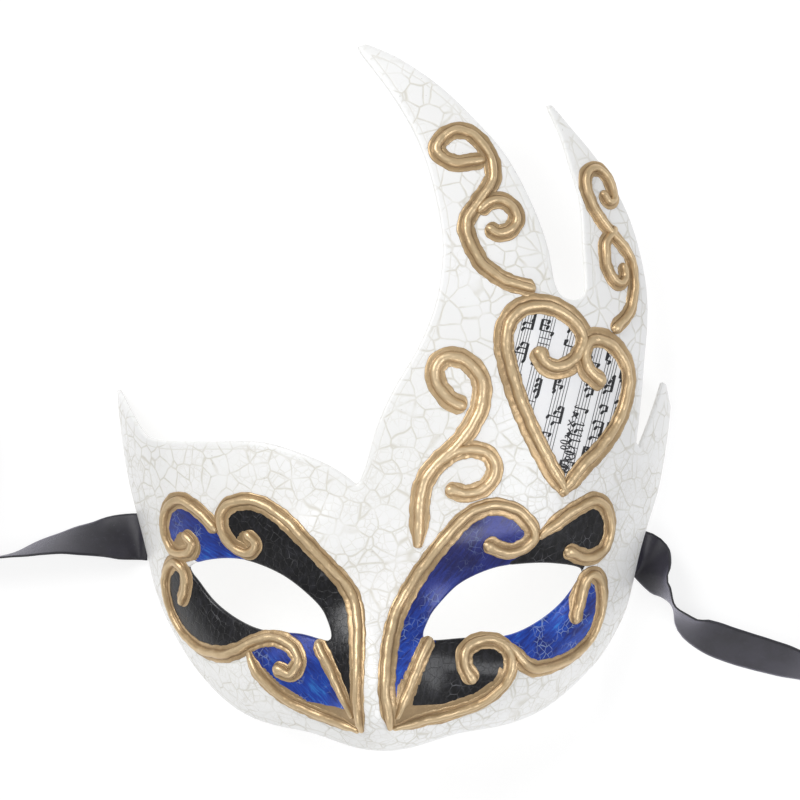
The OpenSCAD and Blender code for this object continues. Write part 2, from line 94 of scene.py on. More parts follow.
EYE_RIGHT = [[59, -59.5], [54.5, -65.5], [48.5, -70.5], [41.5, -74.5], [34.5, -76.5],
    [23.5, -77], [10.5, -77.5], [11.5, -71], [15.5, -65.5], [22, -59.5], [32, -55],
    [41.5, -53.5], [51.5, -53.3], [60.5, -55]]

# Relief lines: width at the foot, form of the first and last end, and drawing path
BEADS = {
    "horn_scroll": (BEAD_W, "round", "round", [[28, 75.5], [21, 74.5], [16.5, 76], [14, 79],
     [15.5, 82.5], [20, 85], [25, 84], [29, 80], [31.5, 75], [32, 70], [30, 66], [26.5, 61],
     [23.5, 56], [24, 51], [28, 43], [32, 39.5], [37, 36.5], [44, 34.5]]),
    "horn_curl": (BEAD_W, "round", "round", [[28, 60], [31.5, 62.5], [35.5, 62.3], [38.5, 60],
     [39.5, 56.5], [37.5, 53.3], [34, 52], [31, 53.5]]),
    "side_scroll": (SIDE_W, "round", "bulb", [[67.2, 64], [68.6, 62], [70.2, 63], [69.5, 66.5],
     [67.9, 70.2], [65, 72.6], [62.3, 71.6], [61.3, 69], [62, 65], [64, 60], [67.5, 54.6],
     [72.5, 48.7], [75.6, 43.8], [76.7, 37.5], [76.3, 31], [75, 26.5], [71.5, 22.5]]),
    "side_curl": (SIDE_W, "round", "round", [[70.2, 52.6], [67.6, 48.8], [68, 42], [70, 37.5],
     [72.3, 36], [73.8, 38], [73.5, 41]]),
    "brow_scroll": (BROW_W, "round", "thin", [[22, -3], [18, -1], [14.5, 3.5], [13.3, 8],
     [15.2, 11.6], [19, 12.8], [23.8, 11.1], [27.5, 6.8], [28.5, 2], [27.6, -4], [24.8, -9.5],
     [21, -15], [15.3, -20.2], [11, -25.4], [8.9, -31.2], [8.4, -39], [7.9, -48.3]]),
    "brow_curl": (BEAD_W, "round", "bulb", [[15.5, -20.5], [20, -17.8], [25, -16.8],
     [29.7, -18], [32.3, -21.3], [31.9, -25.8], [28.7, -29.4], [23.5, -31], [19, -30]]),
    "heart_left": (HEART_W, "thin", "bulb", [[55, -31.5], [53, -27.5], [50, -22.5],
     [45.3, -13.5], [40.7, -3], [37, 8.5], [35.3, 18.5], [37.3, 25], [41.5, 28.7], [47, 29.6],
     [53, 28], [57.8, 24.5], [60.5, 20.5], [61, 17], [59, 12.5], [55.5, 9.5], [51.5, 8.7],
     [48, 10.5], [46.5, 13.5]]),
    "heart_right": (HEART_W, "thin", "bulb", [[53.6, -31.2], [56.5, -27.8], [60.6, -22.6],
     [66.4, -16.4], [71, -9.8], [74.1, -2], [75.2, 6], [73.8, 11.8], [70.3, 16.5], [66.3, 18.8],
     [63, 18.4], [61, 16], [60.5, 12], [62, 8], [65.5, 5]]),
    "brow_out_l": (BEAD_W, "round", "round", [[-57.5, -42], [-62.4, -36.9], [-67.7, -33.5],
     [-71.8, -34.5], [-73.7, -39.5], [-73, -45.5], [-70.4, -49.8], [-66.2, -50.2],
     [-64.5, -47.2], [-66.6, -44.8]]),
    "brow_in_l": (BEAD_W, "round", "thin", [[-46.8, -44.6], [-44.5, -47.1], [-46.2, -49.7],
     [-50.3, -48.4], [-54, -44.4], [-55.3, -39.3], [-53.1, -35.2], [-47.8, -33.6],
     [-41.9, -34.9], [-35.4, -39.2], [-29, -45.6], [-22.5, -52.5], [-16.1, -59.4],
     [-12.6, -66.2], [-11.6, -76], [-11.6, -88], [-11.5, -100], [-10.4, -107]]),
    "corner_l": (SIDE_W, "round", "thin", [[-23.8, -79.5], [-18.7, -90], [-12.8, -103]]),
    "cheek_out_l": (BEAD_W, "round", "bulb", [[-67.9, -65.5], [-66.6, -60], [-67.7, -55.4],
     [-70.5, -53.3], [-72.8, -55.9], [-73.2, -61], [-71.3, -68.8], [-67.4, -75.9], [-61.9, -81],
     [-55.5, -82.8], [-50, -81.6], [-45.2, -79], [-40, -77.6], [-35, -78.5], [-31.4, -81.5],
     [-30.4, -85.5], [-33, -89], [-36.4, -87.7]]),
    "cheek_in_l": (BEAD_W, "thin", "thin", [[-46.5, -82], [-45, -86], [-41.5, -91],
     [-35, -96.5], [-27, -100.5], [-18, -104], [-10.8, -107]]),
    "brow_in_r": (BEAD_W, "thin", "bulb", [[-0.4, -106.2], [-2.1, -95], [-1.5, -83], [0.6, -72],
     [4.6, -63.1], [10.4, -53.9], [17.3, -45.3], [23.8, -38.5], [31.5, -35.2], [38.8, -36.6],
     [43.5, -40.8], [44.5, -44.6], [41.2, -48], [36.3, -49.3], [31.3, -47.4]]),
    "brow_out_r": (BEAD_W, "thin", "bulb", [[46.5, -45], [51.5, -40.7], [58.3, -35.9],
     [64.5, -33], [68.3, -36.3], [69.1, -42.6], [66.9, -48.7], [62.3, -51.3], [56.9, -49.6]]),
    "corner_r": (SIDE_W, "round", "thin", [[11.2, -78.3], [6.1, -90], [0.9, -103]]),
    "cheek_out_r": (BEAD_W, "round", "thin", [[58.1, -71], [59.5, -64.5], [61.3, -58.6],
     [64, -56.6], [66.4, -59.7], [66.3, -67.8], [63.4, -76], [58.1, -81.9], [51.8, -85.4],
     [45.5, -86.8], [41.5, -84.9], [38.5, -81.3], [34.5, -78.3]]),
    "cheek_in_r": (BEAD_W, "bulb", "thin", [[24.8, -89.5], [22.8, -85.5], [23.3, -81],
     [27, -78.3], [32, -78], [36.3, -80.5], [37.8, -85.5], [35, -92], [29, -97], [21, -100.3],
     [11, -102.9], [-0.2, -106]]),
}

# Route of each ribbon: x, y, height of its middle, and roll, 90 where it stands on its edge
TIE_L = [[-78.9, -45, 5.5, 0], [-80.6, -45, 2.6, 2], [-84, -45, 1.8, 8], [-89, -45.2, 3.2, 22],
    [-94, -45.5, 5.2, 42], [-100, -46, 6.2, 54], [-106, -46.8, 6.9, 64], [-112, -48, 7.2, 72],
    [-118, -49.6, 7.5, 81], [-125, -51.3, 7.5, 90], [-132, -52, 7.5, 90], [-141, -52, 7.5, 90],
    [-151, -52, 7.5, 90], [-161, -52, 7.5, 90], [-170, -52, 7.5, 90]]
TIE_R = [[77.6, -49.6, 5.5, 0], [79.8, -50.3, 2.8, 0], [82, -52, 2.6, 12], [84, -55.5, 4.6, 36],
    [85.8, -59.5, 6.7, 60], [87.6, -63, 7.4, 78], [89.6, -66.5, 7.5, 86], [92.3, -70, 7.3, 70],
    [96, -73.5, 6.1, 52], [103, -77, 5.1, 41], [110, -79.5, 4.9, 39], [118, -81.8, 5.1, 41],
    [126, -84, 5.6, 47], [134, -86.3, 6.3, 56], [143, -88.9, 7.1, 70], [153, -91.2, 7.5, 86],
    [164, -92.8, 7.5, 90], [175, -93, 7.5, 90]]
COIL_R = 40.0
COIL_TURNS = 1.5
COIL_PITCH = 6.0
COIL_L_AT = (-170.0, -12.0)
COIL_R_AT = (175.0, -53.0)
# Length along the right ribbon at which one edge is creased over
CREASE_AT = 16.5
CREASE_H = 1.3
# How far the middle of a ribbon stands out of the plane of its edges
BELLY = 0.22

# ---- curves ----


def between(a, b, c, d, t):
    """Smooth curve between b and c, with a and d as their neighbours."""
    return 0.5 * (2 * b + t * (c - a) + t * t * (2 * a - 5 * b + 4 * c - d)
                  + t * t * t * (3 * b - a - 3 * c + d))


def flow(points, step, closed=False):
    """Smooth curve through all points, cut into pieces about step long."""
    p = np.asarray(points, float)
    n = len(p)
    out = []
    for i in range(n if closed else n - 1):
        if closed:
            a, b, c, d = p[i - 1], p[i], p[(i + 1) % n], p[(i + 2) % n]
        else:
            a, b, c, d = p[max(0, i - 1)], p[i], p[i + 1], p[min(n - 1, i + 2)]
        pieces = max(1, round(float(np.linalg.norm(c[:2] - b[:2])) / step))
        for k in range(pieces):
            out.append(between(a, b, c, d, k / pieces))
    if not closed:
        out.append(p[-1])
    return np.array(out)


def unit(v):
    """Rows of v with length 1."""
    return v / np.maximum(np.linalg.norm(v, axis=-1, keepdims=True), 1e-12)


def ease(t):
    c = np.clip(t, 0, 1)
    return c * c * (3 - 2 * c)


def lengths(line):
    """Length along a line up to each of its points."""
    return np.concatenate([[0], np.cumsum(np.linalg.norm(np.diff(line, axis=0), axis=1))])


def ripple(s, wave, seed):
    """Smooth wobble between about -1 and 1 along a length s, the same in each run."""
    rng = np.random.default_rng(seed)
    total = np.zeros_like(s)
    for share in (1.0, 0.62, 0.37):
        total += share * np.sin(2 * math.pi * s / (wave * share) + rng.uniform(0, 6.28))
    return total / 1.99


# ---- face ----


def foot(x, y):
    """Radius of the foot line in the direction of a point."""
    f = (np.degrees(np.arctan2(y - FACE_Y, np.abs(x))) + 90) / 15
    i = np.clip(np.floor(f).astype(int), 0, 11)

    def at(k):
        return FOOT_R[np.where(k < 0, -k, np.where(k > 12, 24 - k, k))]

    return between(at(i - 1), at(i), at(i + 1), at(i + 2), f - i)


def rise(x, y):
    """Height of the outside of the face."""
    d = np.hypot(x, y - FACE_Y)
    down = np.where(d < 0.01, 0, (FACE_Y - y) / np.maximum(d, 0.01))
    chin = np.maximum(0, (down - 0.3) / 0.7) ** 2
    q = np.minimum(1, d / foot(x, y))
    dome = BROW_H * (1 - q ** (2.2 + 3.8 * chin)) ** (0.65 - 0.15 * chin)
    nose_w = 8.5 + 0.13 * np.maximum(0, -y - 56)
    nose = NOSE_RISE * ease((-y - 60) / 45) * np.exp(-(x / nose_w) ** 2)
    bridge = 3 * np.exp(-((y + 58) / 11) ** 2 - (x / 14) ** 2)
    e = ((np.abs(x) - 38) / 35) ** 2 + ((y + 62.5) / 24) ** 2
    socket = SOCKET_D * np.maximum(0, 1 - e) ** 2
    return np.maximum(0, dome * (1 + nose) - bridge - socket)


def normal_at(x, y):
    h = 0.4
    dx = rise(x - h, y) - rise(x + h, y)
    dy = rise(x, y - h) - rise(x, y + h)
    return unit(np.stack([dx, dy, np.full_like(dx, 2 * h)], -1))


def thrown(points):
    """Where the lines from drawing points to DRAW_EYE meet the face, as x and y."""
    u, v = points[..., 0], points[..., 1]
    z = np.full(u.shape, 40.0)
    for _ in range(10):
        s = z / DRAW_EYE[2]
        x = u + (DRAW_EYE[0] - u) * s
        y = v + (DRAW_EYE[1] - v) * s
        z = rise(x, y)
    return x, y


def raised(x, y, height):
    """Places a given height above the face, square to it."""
    return np.stack([x, y, rise(x, y)], -1) + normal_at(x, y) * height[..., None]


def drawn(p):
    """Drawing point that a place in space is seen over."""
    s = p[:, 2] / DRAW_EYE[2]
    return (p[:, :2] - np.outer(s, DRAW_EYE[:2])) / (1 - s)[:, None]


def disc_point(pq):
    """Place on the face for a place in the unit disc, whose rim is the foot line."""
    t = np.minimum(1, np.hypot(pq[:, 0], pq[:, 1]))
    a = np.arctan2(pq[:, 1], pq[:, 0])
    r = np.sin(t * math.pi / 2) * foot(np.cos(a), FACE_Y + np.sin(a))
    x = r * np.cos(a)
    y = FACE_Y + r * np.sin(a)
    return np.stack([x, y, np.where(t >= 1, 0, rise(x, y))], 1)


def disc_normal(pq):
    h = 0.002
    across = disc_point(pq + [h, 0]) - disc_point(pq - [h, 0])
    along = disc_point(pq + [0, h]) - disc_point(pq - [0, h])
    return unit(np.cross(across, along))


def inside(points, outline):
    """Distance into a closed outline, below 0 outside it, and the way inwards."""
    best = np.full(len(points), 1e9)
    way = np.zeros((len(points), 2))
    odd = np.zeros(len(points), bool)
    for a, b in zip(outline, np.roll(outline, -1, axis=0)):
        run = b - a
        t = np.clip((points - a) @ run / max(run @ run, 1e-12), 0, 1)
        off = points - (a + t[:, None] * run)
        d = np.hypot(off[:, 0], off[:, 1])
        near = d < best
        best = np.where(near, d, best)
        way[near] = off[near]
        crosses = (a[1] > points[:, 1]) != (b[1] > points[:, 1])
        if crosses.any():
            x = a[0] + (points[:, 1] - a[1]) * run[0] / (run[1] if run[1] else 1e-12)
            odd ^= crosses & (points[:, 0] < x)
    sign = np.where(odd, 1.0, -1.0)
    return best * sign, unit(way) * sign[:, None]


OUTLINE = np.concatenate([flow(RIM_LEFT, 1.5), flow(HORN_INNER, 1.5), flow(HORN_OUTER, 1.5),
                          flow(SIDE_HORN_OUTER, 1.5), flow(TEMPLE_HORN, 1.5),
                          np.array(RIM_OUTSIDE, float)])
HOLES = [flow(EYE_LEFT, 1.2, True), flow(EYE_RIGHT, 1.2, True)]


def kept(pq):
    """Distance from a place in the disc to the edge of the shell, less half the wall."""
    p = disc_point(pq)
    normal = disc_normal(pq)
    uv = drawn(p)
    parts = []

    def part(distance, way):
        """Edges are rounded with half the wall, so the surface ends that far before them."""
        slope = np.sqrt(np.maximum(0, 1 - np.sum(unit(way) * normal, 1) ** 2))
        parts.append(distance - WALL / 2 * slope)

    for outline, sign in [(OUTLINE, 1), (HOLES[0], -1), (HOLES[1], -1)]:
        d, way = inside(uv, outline)
        lean = (way[:, 0] * (DRAW_EYE[0] - p[:, 0]) - way[:, 1] * p[:, 1]) / DRAW_EYE[2]
        part(d * sign, np.column_stack([way, -lean]))
    fall = 2 * ARCH_H * p[:, 0] / ARCH_W ** 2
    arch = (p[:, 2] - ARCH_H * (1 - (p[:, 0] / ARCH_W) ** 2)) / np.hypot(1, fall)
    part(np.maximum(arch, p[:, 1] + 60), np.column_stack([fall, 0 * fall, 1 + 0 * fall]))
    middle = np.where(p[:, 0] < 0, TIE_Y[0], TIE_Y[1])
    way = np.column_stack([0 * middle, p[:, 1] - middle, p[:, 2] - TIE_GAP + TIE_GAP_R])
    part(np.linalg.norm(way, axis=1) - TIE_GAP_R, way)
    part(p[:, 2], np.tile([0.0, 0, 1], (len(p), 1)))
    return np.min(parts, axis=0)


# ---- meshes ----

SNAP = 0.3


def sides_of(faces):
    return np.concatenate([faces[:, [0, 1]], faces[:, [1, 2]], faces[:, [2, 0]]])


def edges_of(faces):
    return np.unique(np.sort(sides_of(faces), axis=1), axis=0)


def crossing(data, edges, level):
    """Share of the way along each edge at which level is 0."""
    a, b = data[edges[:, 0]], data[edges[:, 1]]
    low = np.zeros(len(edges))
    high = np.ones(len(edges))
    falls = level(a) > 0
    for _ in range(14):
        t = (low + high) / 2
        above = level(a + (b - a) * t[:, None]) > 0
        low = np.where(above == falls, t, low)
        high = np.where(above == falls, high, t)
    return (low + high) / 2


def cut(data, faces, level):
    """The part of a triangle mesh where level is above 0. data has one row a vertex.

    A vertex nearer to the cut than SNAP of an edge is moved onto it. A face whose corners
    are all on the cut stays where its middle is inside.
    """
    data = data.copy()
    value = level(data)
    live = (value[faces] > 0).any(axis=1)
    faces = faces[live]
    edges = edges_of(faces)
    edges = edges[value[edges[:, 0]] * value[edges[:, 1]] < 0]
    t = crossing(data, edges, level)
    moves = {}
    for (a, b), s in zip(edges, t):
        for v, other, share in ((a, b, s), (b, a, 1 - s)):
            if share < SNAP and share < moves.get(v, (1, 0))[0]:
                moves[v] = (share, other)
    spots = {v: data[v] + (data[o] - data[v]) * s for v, (s, o) in moves.items()}
    for v, spot in spots.items():
        data[v] = spot
        value[v] = 0
    edges = edges[value[edges[:, 0]] * value[edges[:, 1]] < 0]
    t = crossing(data, edges, level)
    start = len(data)
    added = {(a, b): start + k for k, (a, b) in enumerate(map(tuple, edges.tolist()))}
    data = np.concatenate([data, data[edges[:, 0]]
                           + (data[edges[:, 1]] - data[edges[:, 0]]) * t[:, None]])
    sign = np.sign(value)
    worst = sign[faces].min(axis=1)
    best = sign[faces].max(axis=1)
    doubtful = (worst == 0) & (best == 0)
    best[doubtful] = np.sign(level(data[faces[doubtful]].mean(axis=1)))
    out = [faces[(worst >= 0) & (best > 0)]]
    extra = []
    for f in faces[worst < 0].tolist():
        ring = []
        for a, b in zip(f, f[1:] + f[:1]):
            if sign[a] >= 0:
                ring.append(a)
            if sign[a] * sign[b] < 0:
                ring.append(added[(min(a, b), max(a, b))])
        if len(ring) >= 3 and any(v >= start or sign[v] > 0 for v in ring):
            extra += [[ring[0], ring[k], ring[k + 1]] for k in range(1, len(ring) - 1)]
    out.append(np.array(extra, int).reshape(-1, 3))
    faces = np.concatenate(out)
    used, index = np.unique(faces, return_inverse=True)
    return data[used], index.reshape(-1, 3)


def loops_of(faces):
    """Closed runs of edge vertices, with the surface on their left."""
    known = set(map(tuple, sides_of(faces).tolist()))
    after = {}
    for a, b in sorted(known):
        if (b, a) not in known:
            after.setdefault(a, []).append(b)
    loops = []
    while after:
        run = [min(after)]
        while len(run) == 1 or run[-1] != run[0]:
            here = run[-1]
            run.append(after[here].pop())
            if not after[here]:
                del after[here]
        loops.append(run[:-1])
    return loops


def add_piece(name, points, faces, nodes=(), uv=None):
    """Smooth-shaded piece standing for CAD nodes. points in millimetres, uv one row a vertex."""
    mesh = bpy.data.meshes.new(name)
    mesh.from_pydata((np.asarray(points) * MM).tolist(), [], [list(map(int, f)) for f in faces])
    mesh.polygons.foreach_set("use_smooth", [True] * len(mesh.polygons))
    if uv is not None:
        layer = mesh.uv_layers.new(name="length_and_width")
        corners = np.empty(len(mesh.loops), np.int32)
        mesh.loops.foreach_get("vertex_index", corners)
        layer.data.foreach_set("uv", np.asarray(uv, np.float32)[corners].ravel())
    mesh.update()
    obj = bpy.data.objects.new(name, mesh)
    scene.collection.objects.link(obj)
    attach(obj, "root")
    if nodes:
        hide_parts(*nodes)
    return obj


def tube(sections, closed_ring=True):
    """Faces between equal sections of points, with a cap at each end of a closed tube."""
    n, m = sections.shape[:2]
    faces = []
    for i in range(n - 1):
        for k in range(m if closed_ring else m - 1):
            a = i * m + k
            b = i * m + (k + 1) % m
            faces.append([a, b, b + m, a + m])
    if closed_ring:
        faces.append(list(range(m))[::-1])
        faces.append([(n - 1) * m + k for k in range(m)])
    return faces


# ---- camera and ribbons ----

CAMERA_AIM = (0.0022, -0.0011, 0.0)
CAMERA_LENS = 155.1

camera_data = bpy.data.cameras.new("camera")
camera = bpy.data.objects.new("camera", camera_data)
scene.collection.objects.link(camera)
scene.camera = camera
camera.location = Vector(DRAW_EYE) * MM
ahead = (Vector(CAMERA_AIM) - camera.location).normalized()
right = ahead.cross(Vector((0, 1, 0))).normalized()
camera.rotation_euler = Matrix((right, right.cross(ahead), -ahead)).transposed().to_euler()
camera_data.sensor_width = 36.0
camera_data.lens = CAMERA_LENS
camera_data.clip_start = 0.05
camera_data.clip_end = 20.0


def wound(centre, turn):
    """Flat coil on edge, from the outside in; turn is -1 where it winds clockwise."""
    steps = np.linspace(0, COIL_TURNS, 91)[1:]
    angle = -math.pi / 2 + turn * 2 * math.pi * steps
    radius = COIL_R - COIL_PITCH * steps
    return [[centre[0] + r * math.cos(a), centre[1] + r * math.sin(a), RIBBON_W / 2, 90]
            for a, r in zip(angle, radius)]


def ribbon(name, nodes, route, coil, crease_at=None):
    """Ribbon swept along its route and its coil."""
    line = np.concatenate([flow(route, 1.5), np.array(coil, float)])
    middle = line[:, :3]
    back = middle[np.maximum(np.arange(len(line)) - 1, 0)]
    ahead = middle[np.minimum(np.arange(len(line)) + 1, len(line) - 1)]
    run = unit(ahead - back)
    flat = unit(np.cross([0.0, 0, 1], run))
    up = np.cross(run, flat)
    roll = np.radians(line[:, 3])[:, None]
    across = flat * np.cos(roll) + up * np.sin(roll)
    over = up * np.cos(roll) - flat * np.sin(roll)
    length = lengths(middle)
    places = np.linspace(-1, 1, 19)
    belly = BELLY * (1 - places ** 2)
    selvedge = np.where(np.abs(places) > 0.94, 0.8, 1.0)
    lane = np.concatenate([places, places[::-1]])
    thick = RIBBON_T / 2 * selvedge
    lift = np.concatenate([belly + thick, (belly - thick)[::-1]])
    sections = []
    for i in range(len(line)):
        soft = 0.16 * float(ripple(length[i:i + 1], 21, 5)[0])
        bump = np.zeros(len(lane))
        if crease_at is not None:
            near = math.exp(-((length[i] - crease_at) / 1.5) ** 2)
            bump = CREASE_H * near * np.maximum(0, lane) ** 2
        offs = lift - 0.1 + soft * lane + bump
        sections.append(middle[i] + across[i] * (lane * RIBBON_W / 2)[:, None]
                        + over[i] * offs[:, None])
    sections = np.array(sections)
    sections[..., 2] = np.maximum(sections[..., 2], 0.02)
    uv = np.stack([np.repeat(length * MM, len(lane)), np.tile(lane * 0.5 + 0.5, len(line))], 1)
    obj = add_piece(name, sections.reshape(-1, 3), tube(sections), nodes, uv)
    return obj


satin_pieces = [
    ribbon("ribbon_left", ("tie_l", "wound_l"), TIE_L, wound(COIL_L_AT, -1)),
    ribbon("ribbon_right", ("tie_r", "wound_r"), TIE_R, wound(COIL_R_AT, 1), CREASE_AT)]

# ---- shell ----

NET = 128
grid = np.arange(-NET, NET + 1)
lattice = np.stack(np.meshgrid(grid, grid), -1).reshape(-1, 2) / NET
side = len(grid)
corner = (np.arange(side - 1)[:, None] * side + np.arange(side - 1)[None, :]).ravel()
even = (corner // side + corner % side) % 2 == 0
squares = np.stack([corner, corner + 1, corner + side + 1, corner + side], 1)
net_faces = np.concatenate([squares[even][:, [0, 1, 2]], squares[even][:, [0, 2, 3]],
                            squares[~even][:, [0, 1, 3]], squares[~even][:, [1, 2, 3]]])
near = np.hypot(lattice[:, 0], lattice[:, 1]) < 1 + 2 / NET
net_faces = net_faces[near[net_faces].all(axis=1)]
disc, skin_faces = cut(lattice, net_faces, kept)
skin = disc_point(disc)
skin_normal = disc_normal(disc)
rims = loops_of(skin_faces)

RIM_STEPS = 6
shell_points = [skin]
shell_normals = [skin_normal]
inner_start = len(skin)
shell_points.append(skin - skin_normal * WALL)
shell_normals.append(-skin_normal)
inner_faces = skin_faces[:, ::-1] + inner_start
rim_quads = []
total = 2 * len(skin)
for rim in rims:
    rim = np.array(rim)
    p = skin[rim]
    n = skin_normal[rim]
    out = unit(np.cross(np.roll(p, -1, 0) - np.roll(p, 1, 0), n))
    for _ in range(3):
        out = unit(np.roll(out, 1, 0) + 2 * out + np.roll(out, -1, 0))
        out = unit(out - n * np.sum(out * n, 1)[:, None])
    rows = [rim]
    for k in range(1, RIM_STEPS):
        angle = math.pi * k / RIM_STEPS
        turn = n * math.cos(angle) + out * math.sin(angle)
        shell_points.append(p - n * WALL / 2 + turn * WALL / 2)
        shell_normals.append(turn)
        rows.append(np.arange(total, total + len(rim)))
        total += len(rim)
    rows.append(rim + inner_start)
    for upper, lower in zip(rows, rows[1:]):
        rim_quads.append(np.stack([np.roll(upper, -1), upper, lower, np.roll(lower, -1)], 1))
shell_points = np.concatenate(shell_points)
shell_normals = np.concatenate(shell_normals)
rim_quads = np.concatenate(rim_quads)
shell_points[:, 2] = np.maximum(shell_points[:, 2], 0)
painted_faces = np.concatenate([skin_faces, rim_quads[:, [0, 1, 2]], rim_quads[:, [0, 2, 3]]])
shell = add_piece("shell", shell_points, np.concatenate([painted_faces, inner_faces]),
                  ["mask_shell"])
from_edge = np.zeros(len(shell_points))
from_edge[:len(skin)] = kept(disc) + WALL / 2
layer = shell.data.attributes.new("from_edge", "FLOAT", "POINT")
layer.data.foreach_set("value", from_edge.astype(np.float32))

# ---- lacquer and paper: films that follow the painted side of the shell and its edges ----

# Corner points of each film; where a film meets an eye hole they lie inside the hole
FILMS = {
    "blue_top_l": [[-59, -39], [-67, -33], [-73, -38], [-73, -48], [-66, -51.5], [-58, -56],
     [-47.5, -56], [-48.2, -49.5], [-53.5, -45.5], [-56.5, -41]],
    "black_top_l": [[-48.2, -49.5], [-47.5, -56.5], [-37, -61], [-29, -67.5], [-25.5, -74],
     [-25, -80.5], [-21.5, -83.5], [-15, -99], [-11.8, -103], [-11, -84], [-12.5, -65.5],
     [-22, -52], [-35, -38.5], [-47, -33], [-54.5, -36], [-54, -44], [-50, -48.5]],
    "black_low_l": [[-67, -54], [-62, -56.5], [-57, -63], [-49, -68.5], [-40, -71.5],
     [-39.5, -76.5], [-44, -78], [-51, -82], [-56, -83], [-63, -80.5], [-70.5, -71.5],
     [-73.5, -60], [-71, -54]],
    "blue_low_l": [[-39.5, -76.5], [-39, -72], [-28, -72.5], [-21.5, -73], [-21.5, -80],
     [-24, -80.5], [-19, -90], [-13.5, -101.5], [-14, -105], [-25, -101.8], [-36, -96.5],
     [-43, -90], [-46.5, -83], [-43, -78]],
    "blue_top_r": [[45, -45], [43.5, -49.2], [37.5, -52.8], [36.5, -57.5], [33, -59], [24, -63],
     [18, -69], [14.5, -74], [14.5, -80], [8, -80], [1.5, -100], [-1, -103], [-2, -90],
     [-1.2, -76], [4.5, -62], [17, -44.8], [31, -34.8], [39, -36], [44, -41]],
    "black_top_r": [[45.2, -45.5], [51, -40.5], [63, -33], [69, -37], [70, -44], [67, -50],
     [62, -53], [59, -57.5], [36.5, -57.5], [37.5, -52.8], [43.5, -49.2]],
    "blue_low_r": [[62, -56], [57.5, -57.5], [51.5, -64.5], [45.5, -69.5], [35, -72.5],
     [35.5, -78.2], [39, -82], [42, -86], [46, -87.5], [53, -86], [63.5, -77], [67.3, -66],
     [66.5, -58]],
    "black_low_r": [[35.3, -78], [35, -72.5], [22, -73], [9.5, -74.5], [10, -80], [5.5, -90],
     [1, -101.5], [2, -105], [20, -101], [32, -95.5], [38, -86]],
    "paper": [[59, 23], [53.5, 28], [46, 29.5], [39.5, 27.5], [36, 21], [36.5, 9], [41, -3],
     [47, -16], [54.3, -29], [61, -22], [68, -14], [74, -4], [76, 6], [73.5, 14], [68, 19],
     [62, 18.5]],
}
# Gold brushed flat over the shell beside the relief lines
WASHES = {
    "wash_tip_l": [[-44.8, -89.4], [-40.6, -93.1], [-35.3, -97.3], [-30.5, -100.5],
     [-26.8, -103.2], [-23.6, -104.2], [-18.3, -105.2], [-12.5, -106.8], [-11.5, -101],
     [-18.8, -99], [-27, -97.5], [-36, -92], [-42, -86]],
    "wash_outer_curl_l": [[-69.5, -43.5], [-66, -42.5], [-62.5, -45], [-61.5, -49],
     [-62.5, -52.5], [-68, -52.8], [-72, -50], [-71, -46.5]],
    "wash_inner_curl_l": [[-49.5, -43], [-45.5, -42.8], [-42.8, -46], [-43, -50.5],
     [-46.5, -51.8], [-52, -49]],
    "wash_eye_corner_r": [[60, -57], [57.5, -60], [55.8, -64], [56, -68], [57.5, -71.5],
     [59, -72.5], [60.5, -70], [60.5, -62]],
    "wash_tip_r": [[-0.5, -106.4], [15.5, -104.7], [24, -101.6], [32.4, -97.3], [38.3, -89.4],
     [34, -85.6], [32.4, -89.9], [26.1, -94.4], [15.5, -98.1], [6.3, -98.6], [13.9, -78.2],
     [9.6, -76], [1.1, -92.5]],
}
shell_data = np.hstack([shell_points, shell_normals])
heart = flow(FILMS["paper"], 1.5, True)


def film(name, outline, height, nodes=()):
    """Piece of the painted side inside a drawing outline, raised by height."""
    ring = np.array(outline, float)
    if name == "paper_film":
        ring = heart

    def level(data):
        return inside(drawn(data[:, :3]), ring)[0]

    pad = 3.0
    uv = drawn(shell_points)
    low, high = ring.min(0) - pad, ring.max(0) + pad
    close = ((uv > low) & (uv < high)).all(axis=1) & (shell_points[:, 2] > 5)
    faces = painted_faces[close[painted_faces].all(axis=1)]
    data, faces = cut(shell_data, faces, level)
    depth = inside(drawn(data[:, :3]), ring)[0]
    lift = height * (0.25 + 0.75 * ease(depth / 0.6))
    points = data[:, :3] + unit(data[:, 3:]) * lift[:, None]
    return add_piece(name, points, faces, nodes)


films = {name: film(name + "_film", outline, PAPER_LIFT if name == "paper" else LACQUER_LIFT,
                    [name])
         for name, outline in FILMS.items()}
washes = [film(name, outline, WASH_LIFT) for name, outline in WASHES.items()]

# ---- relief ----

# How far a relief line runs on past the last point of its path, by the form of the end
END_PAST = {"round": 1.6, "bulb": 2.4, "thin": 0.2}
RIDGE_SHARE = 0.44
# Reach of each margin from the middle, as a share of the whole width, and its thickness
MARGIN_SHARE = 0.47
MARGIN_H = 0.30
RIDGE_SIDES = 12
# Ridges that don't run along the middle of their margins, positive to the right of the path
RIDGE_ASIDE = {"heart_left": 0.6, "heart_right": -0.6, "brow_in_r": -0.5, "brow_in_l": -0.35}


def longer(path, first, last):
    """A path run on straight past its two ends, by first and by last."""
    p = np.array(path, float)
    head = p[0] + unit(p[0] - p[1]) * first
    tail = p[-1] + unit(p[-1] - p[-2]) * last
    return np.concatenate([head[None], p, tail[None]])


